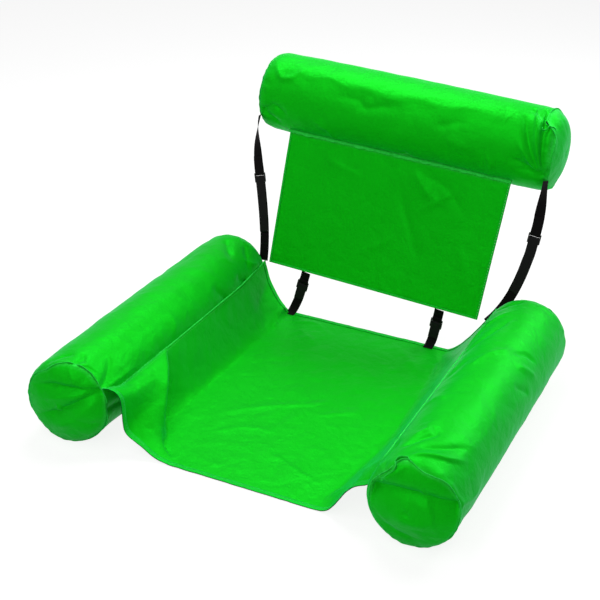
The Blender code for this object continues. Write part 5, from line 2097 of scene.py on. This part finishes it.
def right_arm() -> Bolster:
    """The arm bolster on the right."""
    r = ARM_RADIUS
    folds = (
        Fold(on_sleeve(r, (104, -0.366), (88, -0.352), (62, -0.330), (34, -0.275)), 0.0060, 0.008, 0.4),
        Fold(on_sleeve(r, (98, -0.338), (72, -0.306), (44, -0.250)), -0.0052, 0.010),
        Fold(on_sleeve(r, (124, -0.332), (112, -0.312), (88, -0.272), (100, -0.239)), -0.0066, 0.009),
        Fold(on_sleeve(r, (120, -0.300), (100, -0.262), (108, -0.225)), 0.0040, 0.008, 0.3),
        Fold(on_sleeve(r, (111, 0.006), (94, 0.079), (64, 0.143)), 0.0044, 0.010, 0.3),
        Fold(on_sleeve(r, (76, 0.110), (52, 0.150), (32, 0.161)), -0.0050, 0.009),
        Fold(on_sleeve(r, (60, 0.085), (38, 0.112), (20, 0.130)), 0.0036, 0.010),
        Fold(on_sleeve(r, (44, 0.020), (16, 0.076)), -0.0040, 0.009),
        Fold(on_sleeve(r, (148, 0.112), (131, 0.247), (93, 0.320)), 0.0050, 0.008, 0.2),
        Fold(on_sleeve(r, (146, 0.080), (112, 0.186), (90, 0.300)), -0.0050, 0.010),
        Fold(on_sleeve(r, (140, 0.330), (112, 0.352), (90, 0.372)), -0.0045, 0.009),
        Fold(on_sleeve(r, (148, -0.170), (122, -0.120), (104, -0.130)), 0.0034, 0.010),
        Fold(on_sleeve(r, (148, -0.040), (126, 0.010), (112, 0.080)), -0.0034, 0.011),
        Fold(on_sleeve(r, (-8, -0.350), (-20, -0.325), (-22, -0.290)), -0.0045, 0.010),
        Fold(on_sleeve(r, (14, -0.366), (4, -0.320), (2, -0.250)), 0.0040, 0.010, 0.2, AT_START),
        Fold(on_sleeve(r, (152, -0.350), (138, -0.320), (134, -0.270)), -0.0060, 0.010, 0.0, AT_START),
        Fold(on_sleeve(r, (60, -0.335), (42, -0.200), (48, -0.050)), 0.0020, 0.020),
    )
    disc_folds = (
        Fold(
            ((-0.084, 0.022), (-0.036, 0.036), (0.020, 0.040), (0.084, 0.026)),
            -0.0190, 0.019, 0.2, (True, True),
        ),
        Fold(((-0.066, 0.046), (-0.040, 0.066), (-0.020, 0.088)), 0.0070, 0.008, 0.3, AT_END),
        Fold(((-0.040, -0.012), (0.010, -0.020), (0.058, -0.010)), 0.0085, 0.022),
        Fold(((0.030, 0.040), (0.050, 0.000), (0.062, -0.050)), 0.0060, 0.010, 0.4, AT_START),
        Fold(((-0.070, -0.040), (-0.020, -0.058), (0.040, -0.064)), -0.0060, 0.014),
    )
    course = SeamCourse((
        (-180, 0.0), (-120, 0.0), (-90, 0.004), (-60, 0.009), (-30, 0.013), (0, 0.014), (23, 0.014),
        (38, 0.013), (48, 0.012), (66, 0.002), (80, 0.0), (92, 0.008), (99, 0.018), (106, 0.019),
        (114, 0.004), (130, -0.002), (150, 0.0),
    ))
    return Bolster(
        prefix="right_arm", disc_names=("right_arm_front_disc", "right_arm_rear_disc"), body="right_arm",
        radius=r, length=ARM_LENGTH, place=Matrix.Translation((ARM_CENTRE, 0, ARM_AXIS_HEIGHT)), seed=23,
        held_course=RIGHT_SEAM.turn_at, held_reach=0.366, rests=True, folds=folds,
        plain_disc_folds=disc_folds, plain_seam=course,
        standing_folds=(
            StandingFold((
                (-0.060, -0.399, 0.046), (-0.052, -0.3985, 0.056), (-0.042, -0.397, 0.066),
                (-0.034, -0.396, 0.077), (-0.033, -0.389, 0.086), (-0.039, -0.381, 0.088),
                (-0.036, -0.372, 0.091), (-0.025, -0.369, 0.094), (-0.015, -0.372, 0.0955),
                (-0.008, -0.380, 0.0955),
            ), 0.0050, 0.0006, 71),
        ),
    )


def headrest() -> Bolster:
    """The headrest bolster, whose own Y runs to the viewer's left."""
    r = HEADREST_RADIUS

    def line(*places: tuple[float, float]) -> tuple[tuple[float, float], ...]:
        """Places given as (degrees, across to the right) on the flat cloth."""
        return on_sleeve(r, *[(angle, -across) for angle, across in places])

    folds = (
        Fold(
            line((96, 0.338), (122, 0.346), (158, 0.358), (186, 0.366), (216, 0.380)),
            -0.0130, 0.009, 0.3, AT_END,
        ),
        Fold(line((104, 0.318), (134, 0.330), (170, 0.348), (216, 0.376)), 0.0080, 0.007, 0.2, AT_END),
        Fold(line((126, 0.296), (156, 0.316), (186, 0.340), (214, 0.372)), -0.0090, 0.010, 0.3, AT_END),
        Fold(line((172, 0.300), (192, 0.334), (216, 0.370)), 0.0070, 0.008, 0.3, AT_END),
        Fold(line((198, 0.284), (206, 0.330), (218, 0.370)), -0.0100, 0.011, 0.3, AT_END),
        Fold(line((211, 0.300), (216, 0.380)), -0.0070, 0.010, 0.0, AT_END),
        Fold(line((97, 0.329), (138, 0.360)), 0.0050, 0.009, 0.3),
        Fold(line((112, 0.300), (138, 0.350)), -0.0045, 0.010),
        Fold(line(
            (150, -0.350), (141, -0.300), (149, -0.255), (143, -0.200), (152, -0.150), (147, -0.090),
            (156, -0.030), (146, 0.040), (153, 0.110), (142, 0.180), (150, 0.250), (138, 0.310),
        ), 0.0050, 0.022, 0.35),
        Fold(line((131, -0.369), (160, -0.330), (156, -0.295), (128, -0.260)), 0.0054, 0.011, 0.4),
        Fold(line((171, -0.230), (164, -0.107), (176, -0.090), (166, -0.033), (159, 0.018)), -0.0050, 0.014),
        Fold(line((182, 0.090), (160, 0.178)), -0.0044, 0.015),
        Fold(line((190, 0.121), (200, 0.200)), 0.0034, 0.013),
        Fold(line((212, -0.366), (200, -0.338), (212, -0.294)), -0.0095, 0.011, 0.0, AT_START),
        Fold(line((216, -0.368), (222, -0.340), (236, -0.316)), -0.0060, 0.010, 0.0, AT_START),
        Fold(line((229, 0.014), (242, 0.030)), -0.0050, 0.009, 0.0, AT_END),
        Fold(line((206, -0.240), (220, -0.180), (238, -0.170)), 0.0034, 0.010, 0.0, AT_END),
        Fold(line((196, 0.230), (214, 0.250), (238, 0.240)), 0.0034, 0.010, 0.0, AT_END),
    )
    course = SeamCourse((
        (-180, -0.006), (-145, -0.006), (-120, 0.0), (-60, 0.0), (0, 0.004), (40, 0.014), (80, 0.028),
        (128, 0.030), (137, 0.026), (144, 0.012), (152, -0.004), (160, -0.007),
    ))
    foot = r - 0.0015
    place = backrest_matrix() @ Matrix.Translation((0, HEADREST_SETBACK, HEADREST_HEIGHT))
    return Bolster(
        prefix="headrest", disc_names=("headrest_right_disc", "headrest_left_disc"), body="backrest",
        radius=r, length=HEADREST_LENGTH, place=place @ Matrix.Rotation(math.pi / 2, 4, "Z"), seed=37,
        held_course=lambda along: np.full_like(along, PANEL_SEAM_ANGLE), held_reach=0.298, folds=folds,
        plain_seam=course,
        standing_folds=(
            StandingFold(tuple(
                (foot * math.cos(math.radians(angle)), -across, foot * math.sin(math.radians(angle)))
                for angle, across in (
                    (146, 0.350), (152, 0.354), (150, 0.360), (143, 0.366), (143, 0.376), (149, 0.386),
                )
            ), 0.0034, 0.0010, 72),
        ),
    )


def seat() -> SeatCloth:
    """The seat cloth."""
    left = Slope(
        LEFT_SEAM, (0.62, 0.72, 0.82),
        (((0.28, 0.74), (0.60, 0.0)), ((0.28, 0.74), (0.60, 0.0)), ((0.26, 0.60), (0.52, 0.0))),
        (
            (-0.3164, 0.1428), (-0.303, 0.145), (-0.290, 0.1445), (-0.279, 0.140), (-0.272, 0.128),
            (-0.2695, 0.105), (-0.2695, 0.075), (-0.2675, 0.054), (-0.257, 0.042), (-0.238, 0.033),
            (-0.217, 0.022), (-0.197, 0.011), (-0.176, 0.003), (-0.155, 0.0),
        ),
    )
    right = Slope(
        RIGHT_SEAM, (1.16, 0.94, 1.16),
        (((0.42, 0.47), (0.47, 0.52)), ((0.49, 0.52), (0.75, 0.03)), ((0.28, 0.62), (0.70, 0.07))),
        (
            (0.305, 0.092), (0.294, 0.086), (0.282, 0.083), (0.270, 0.077), (0.260, 0.067), (0.250, 0.053),
            (0.240, 0.037), (0.230, 0.021), (0.219, 0.008), (0.205, 0.001), (0.190, 0.0),
        ),
    )
    crest = (
        (-0.308, -0.118, 0.121), (-0.289, -0.140, 0.122), (-0.268, -0.168, 0.115), (-0.250, -0.201, 0.098),
        (-0.237, -0.230, 0.077), (-0.228, -0.256, 0.053), (-0.221, -0.276, 0.030), (-0.214, -0.293, 0.012),
        (-0.206, -0.306, 0.003), (-0.197, -0.316, 0.0),
    )
    folds = (
        Fold(((-0.200, -0.175), (-0.111, -0.081), (-0.018, -0.017), (0.080, 0.050)), 0.0022, 0.010, 0.2),
        Fold(((0.020, -0.222), (0.034, -0.228), (0.117, -0.265), (0.150, -0.275)), 0.0024, 0.007, 0.4),
        Fold(((-0.200, 0.335), (-0.091, 0.254)), 0.0022, 0.009),
        Fold(((0.030, -0.050), (0.125, 0.021)), 0.0018, 0.008),
        Fold(((-0.175, -0.240), (-0.082, -0.156), (0.010, -0.140)), 0.0020, 0.009),
        Fold(((0.084, 0.358), (0.196, 0.228)), 0.0030, 0.010),
        Fold(((0.170, 0.385), (0.215, 0.300), (0.235, 0.200)), 0.0030, 0.009),
        Fold(((-0.240, 0.330), (-0.150, 0.370), (-0.081, 0.309)), 0.0026, 0.010),
        Fold(((0.282, -0.352), (0.262, -0.250), (0.262, -0.120)), 0.0040, 0.008, 0.3),
        Fold(((-0.150, -0.300), (-0.080, -0.320), (0.010, -0.300)), 0.0016, 0.010),
        Fold(((-0.296, 0.385), (-0.284, 0.330), (-0.276, 0.260)), -0.0060, 0.014, 0.0, AT_START),
        Fold(((-0.255, 0.385), (-0.246, 0.330), (-0.225, 0.270)), 0.0040, 0.011, 0.3, AT_START),
    )
    return SeatCloth(left, right, crest, folds=folds)


def back_panel() -> BackPanel:
    """The back panel."""
    folds = (
        Fold(((0.039, 0.335), (0.085, 0.288), (0.136, 0.247)), 0.0065, 0.012, 0.3),
        Fold(((0.011, 0.320), (0.034, 0.241), (0.076, 0.162), (0.118, 0.084)), -0.0040, 0.013),
        Fold(((0.076, 0.218), (0.122, 0.256), (0.180, 0.310)), 0.0034, 0.007, 0.3),
        Fold(((-0.075, 0.065), (-0.003, 0.119), (0.052, 0.157)), 0.0022, 0.012),
        Fold(((-0.197, 0.307), (-0.134, 0.285), (-0.075, 0.275)), 0.0030, 0.009, 0.2),
        Fold(((0.052, 0.326), (0.143, 0.301), (0.219, 0.227)), -0.0030, 0.012),
        Fold(((0.180, 0.200), (0.230, 0.120), (0.260, 0.030)), 0.0020, 0.014),
    )
    return BackPanel(folds=folds)


def main() -> None:
    """Build the lounger piece by piece, then the studio."""
    logging.basicConfig(level=logging.INFO, format="%(message)s")
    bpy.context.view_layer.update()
    Effects.build()
    Finishes.build()
    for bolster in (left_arm(), right_arm(), headrest()):
        bolster.build()
        LOG.info("%s bolster is ready", bolster.prefix)
    seat().build()
    LOG.info("seat is ready")
    back_panel().build()
    LOG.info("back panel is ready")
    straps = (
        side_strap(Side.LEFT, 0.212, ((1.022, 0.72), (0.829, 0.43), (0.803, 0.0))),
        side_strap(Side.RIGHT, 0.229, ((1.015, 0.72), (1.030, 0.27), (0.824, 0.0))),
        seat_strap(Side.LEFT, -0.232, -0.200),
        seat_strap(Side.RIGHT, 0.156, 0.172),
    )
    for strap in straps:
        strap.build()
        LOG.info("%s is ready", strap.prefix)
    Studio().build()


if __name__ == "__main__":
    main()
